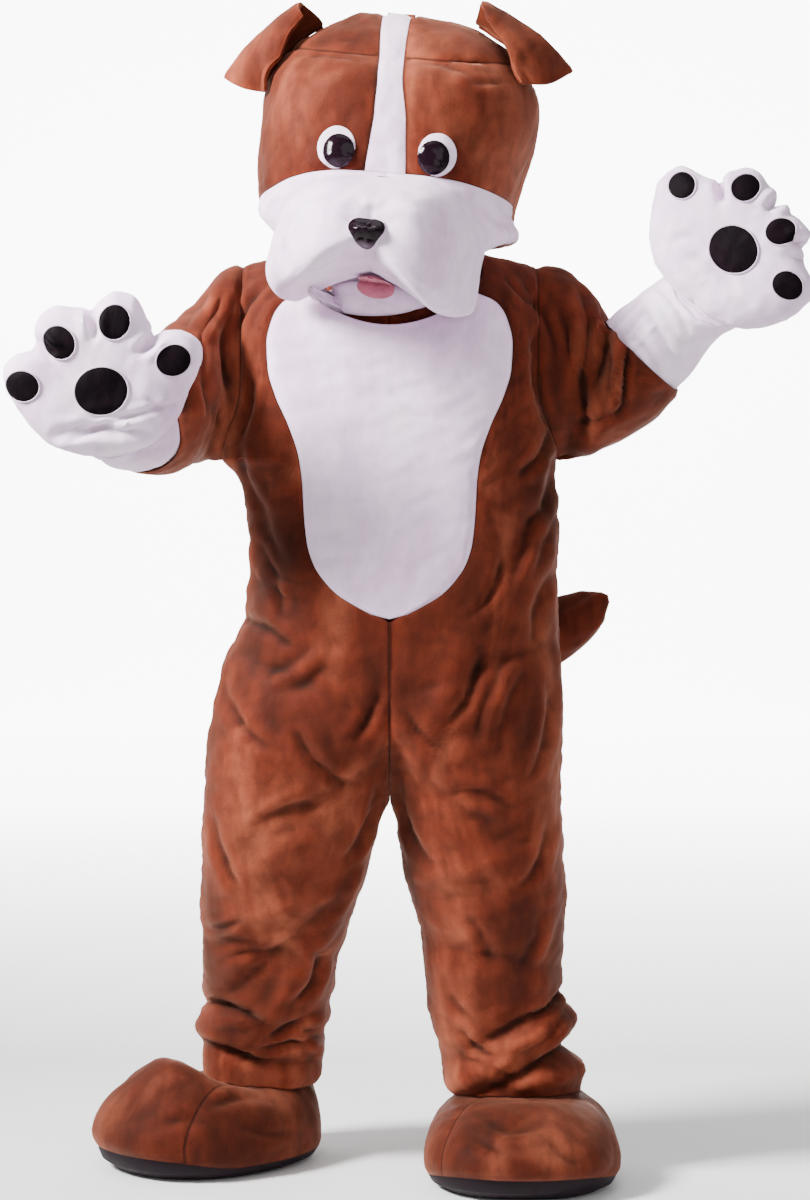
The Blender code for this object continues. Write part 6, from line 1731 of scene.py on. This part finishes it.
def build_stage():
    """A pale floor that sweeps up behind, soft lights and the camera."""
    far, bend = STUDIO_REACH, STUDIO_BEND
    profile = [(-far, 0.0)]
    for angle in np.linspace(0, math.pi / 2, 24):
        profile.append((far - bend + bend * math.sin(angle), bend - bend * math.cos(angle)))
    profile.append((far, STUDIO_HEIGHT))
    points = [(x, y, FLOOR_Z + z) for y, z in profile for x in (-far, far)]
    faces = [(2 * k, 2 * k + 1, 2 * k + 3, 2 * k + 2) for k in range(len(profile) - 1)]
    mesh = bpy.data.meshes.new("studio.sweep")
    mesh.from_pydata(points, [], faces)
    mesh.shade_smooth()
    mesh.materials.append(stage_finish())
    placed("studio.sweep", mesh)

    for name, (place, size, watts, colour, aim, spread) in LAMPS.items():
        lamp = bpy.data.lights.new("studio." + name, "AREA")
        lamp.energy, lamp.size, lamp.color = watts, size, colour
        lamp.spread = math.radians(spread)
        turn = (Vector(aim) - Vector(place)).to_track_quat("-Z", "Y").to_euler()
        placed("studio." + name, lamp, place, turn)

    world = bpy.context.scene.world or bpy.data.worlds.new("studio")
    bpy.context.scene.world = world
    world.use_nodes = True
    dialled(world.node_tree.nodes["Background"], Color=ROOM_COLOUR, Strength=ROOM_LIGHT)

    lens = bpy.data.cameras.new("studio.camera")
    lens.sensor_fit = "VERTICAL"
    lens.sensor_height, lens.sensor_width = 36.0, 36.0
    lens.lens, lens.shift_y = CAMERA["lens"], CAMERA["shift_y"]
    bpy.context.scene.camera = placed("studio.camera", lens, CAMERA["place"], (math.pi / 2, 0, 0))


# ---------------------------------------------------------------- add-on

def colour_property(name, description, default):
    return FloatVectorProperty(name=name, description=description, subtype="COLOR", size=3, min=0, max=1,
                               default=default)


def length_property(name, description, default, least, most):
    return FloatProperty(name=name, description=description, unit="LENGTH", min=least, max=most,
                         default=default)


class CostumeColours(bpy.types.PropertyGroup):
    """The colours of the costume's cloths."""
    brown: colour_property("Brown", "Brown plush seen square on", (0.142, 0.0215, 0.0082))
    # The nap patches run from brown_shade to brown_nap: the pile's own tone, with a painted shade at the dark
    # end and a painted sheen highlight at the light end.
    brown_shade: colour_property("Brown shade", "Brown plush with its nap away", (0.044, 0.0056, 0.0020))
    brown_nap: colour_property("Brown nap", "Brown plush with its nap in the light", (0.325, 0.080, 0.039))
    white: colour_property("White", "White plush", (0.955, 0.730, 0.960))
    black: colour_property("Black", "Pads, soles, pupils and nose", (0.0060, 0.0018, 0.0045))
    tongue: colour_property("Tongue", "Felt of the tongue", (0.560, 0.140, 0.210))


class CostumeCloth(bpy.types.PropertyGroup):
    """The make of the costume's cloth."""
    pile: length_property("Pile", "Height of the plush above its backing", PILE, 0, 0.006)
    mitt_pile: length_property("Mitt pile", "Height of the mitts' plush", MITT_PILE, 0, 0.006)
    seam_width: length_property("Seam width", "How far a seam's stitches pull the pile down", SEAM_WIDTH,
                                0.001, 0.02)
    pucker: length_property("Pucker", "Depth of the gathers beside the seams", 0.0011, 0, 0.004)
    dimple: length_property("Dimples", "Depth of the cloth's shallow unevenness", 0.0016, 0, 0.005)
    creasing: FloatProperty(name="Creasing", description="How deep the small creases are pressed",
                            subtype="FACTOR", default=1.35, min=0, max=2.0)


class COSTUME_OT_head(bpy.types.Operator):
    """Sews the jaw, cheeks, face, back, crown and blaze of the head"""
    bl_idname = "costume.head"
    bl_label = "Head shell"
    bl_options = {"REGISTER", "UNDO"}

    def execute(self, context):
        build_head()
        return {"FINISHED"}


class COSTUME_OT_eyes(bpy.types.Operator):
    """Lays the eye whites and the glossy pupils on the face"""
    bl_idname = "costume.eyes"
    bl_label = "Eyes"
    bl_options = {"REGISTER", "UNDO"}

    def execute(self, context):
        build_eyes()
        return {"FINISHED"}


class COSTUME_OT_muzzle(bpy.types.Operator):
    """Stuffs the muzzle and the chin, and adds the nose and the tongue"""
    bl_idname = "costume.muzzle"
    bl_label = "Muzzle"
    bl_options = {"REGISTER", "UNDO"}

    def execute(self, context):
        build_muzzle()
        return {"FINISHED"}


class COSTUME_OT_ears(bpy.types.Operator):
    """Folds the ears forward over the crown, with their linings"""
    bl_idname = "costume.ears"
    bl_label = "Ears"
    bl_options = {"REGISTER", "UNDO"}

    def execute(self, context):
        build_ears()
        return {"FINISHED"}


class COSTUME_OT_seat_head(bpy.types.Operator):
    """Rolls and turns every head piece as one on the neck"""
    bl_idname = "costume.seat_head"
    bl_label = "Seat head"
    bl_options = {"REGISTER", "UNDO"}

    def execute(self, context):
        seat_head()
        return {"FINISHED"}


class COSTUME_OT_shoes(bpy.types.Operator):
    """Sews the uppers of both shoe covers to their soles"""
    bl_idname = "costume.shoes"
    bl_label = "Shoe covers"
    bl_options = {"REGISTER", "UNDO"}

    def execute(self, context):
        build_shoes()
        return {"FINISHED"}


class COSTUME_OT_suit(bpy.types.Operator):
    """Sews the bib, fronts, backs and sleeves, and rests the hems on the shoe covers"""
    bl_idname = "costume.suit"
    bl_label = "Suit"
    bl_options = {"REGISTER", "UNDO"}

    def execute(self, context):
        build_suit()
        return {"FINISHED"}


class COSTUME_OT_placket(bpy.types.Operator):
    """Hangs the strip behind the opening in the back"""
    bl_idname = "costume.placket"
    bl_label = "Back placket"
    bl_options = {"REGISTER", "UNDO"}

    def execute(self, context):
        build_placket()
        return {"FINISHED"}


class COSTUME_OT_tail(bpy.types.Operator):
    """Stuffs the tail and sets it on the seat of the suit"""
    bl_idname = "costume.tail"
    bl_label = "Tail"
    bl_options = {"REGISTER", "UNDO"}

    def execute(self, context):
        build_tail()
        return {"FINISHED"}


class COSTUME_OT_mitts(bpy.types.Operator):
    """Sews the palms, backs and gauntlets of both mitts"""
    bl_idname = "costume.mitts"
    bl_label = "Paw mitts"
    bl_options = {"REGISTER", "UNDO"}

    def execute(self, context):
        build_mitts()
        return {"FINISHED"}


class COSTUME_OT_pads(bpy.types.Operator):
    """Lays the edged pads on both palms"""
    bl_idname = "costume.pads"
    bl_label = "Paw pads"
    bl_options = {"REGISTER", "UNDO"}

    def execute(self, context):
        build_pads()
        return {"FINISHED"}


class COSTUME_OT_stage(bpy.types.Operator):
    """Makes the floor, the lights and the camera"""
    bl_idname = "costume.stage"
    bl_label = "Stage"
    bl_options = {"REGISTER", "UNDO"}

    def execute(self, context):
        build_stage()
        return {"FINISHED"}


class COSTUME_PT_sidebar(bpy.types.Panel):
    """The costume's sizes, colours and pieces, in the order that they are made."""
    bl_idname = "COSTUME_PT_sidebar"
    bl_label = "Dog mascot costume"
    bl_space_type = "VIEW_3D"
    bl_region_type = "UI"
    bl_category = "Costume"

    def draw(self, context):
        cloth, colours = context.scene.costume_cloth, context.scene.costume_colours
        for group in (cloth, colours):
            box = self.layout.box()
            for name in group.__annotations__:
                box.prop(group, name)
        for operator in OPERATORS:
            self.layout.operator(operator.bl_idname)


OPERATORS = (
    COSTUME_OT_head,
    COSTUME_OT_eyes,
    COSTUME_OT_muzzle,
    COSTUME_OT_ears,
    COSTUME_OT_seat_head,
    COSTUME_OT_shoes,
    COSTUME_OT_suit,
    COSTUME_OT_placket,
    COSTUME_OT_tail,
    COSTUME_OT_mitts,
    COSTUME_OT_pads,
    COSTUME_OT_stage,
)
CLASSES = (CostumeColours, CostumeCloth, *OPERATORS, COSTUME_PT_sidebar)


def register():
    for item in CLASSES:
        bpy.utils.register_class(item)
    bpy.types.Scene.costume_colours = PointerProperty(type=CostumeColours)
    bpy.types.Scene.costume_cloth = PointerProperty(type=CostumeCloth)


def unregister():
    del bpy.types.Scene.costume_cloth
    del bpy.types.Scene.costume_colours
    for item in reversed(CLASSES):
        bpy.utils.unregister_class(item)


def main():
    register()
    for operator in OPERATORS:
        group, name = operator.bl_idname.split(".")
        if getattr(getattr(bpy.ops, group), name)() != {"FINISHED"}:
            raise RuntimeError(operator.bl_label + " wasn't finished")


if __name__ == "__main__":
    main()
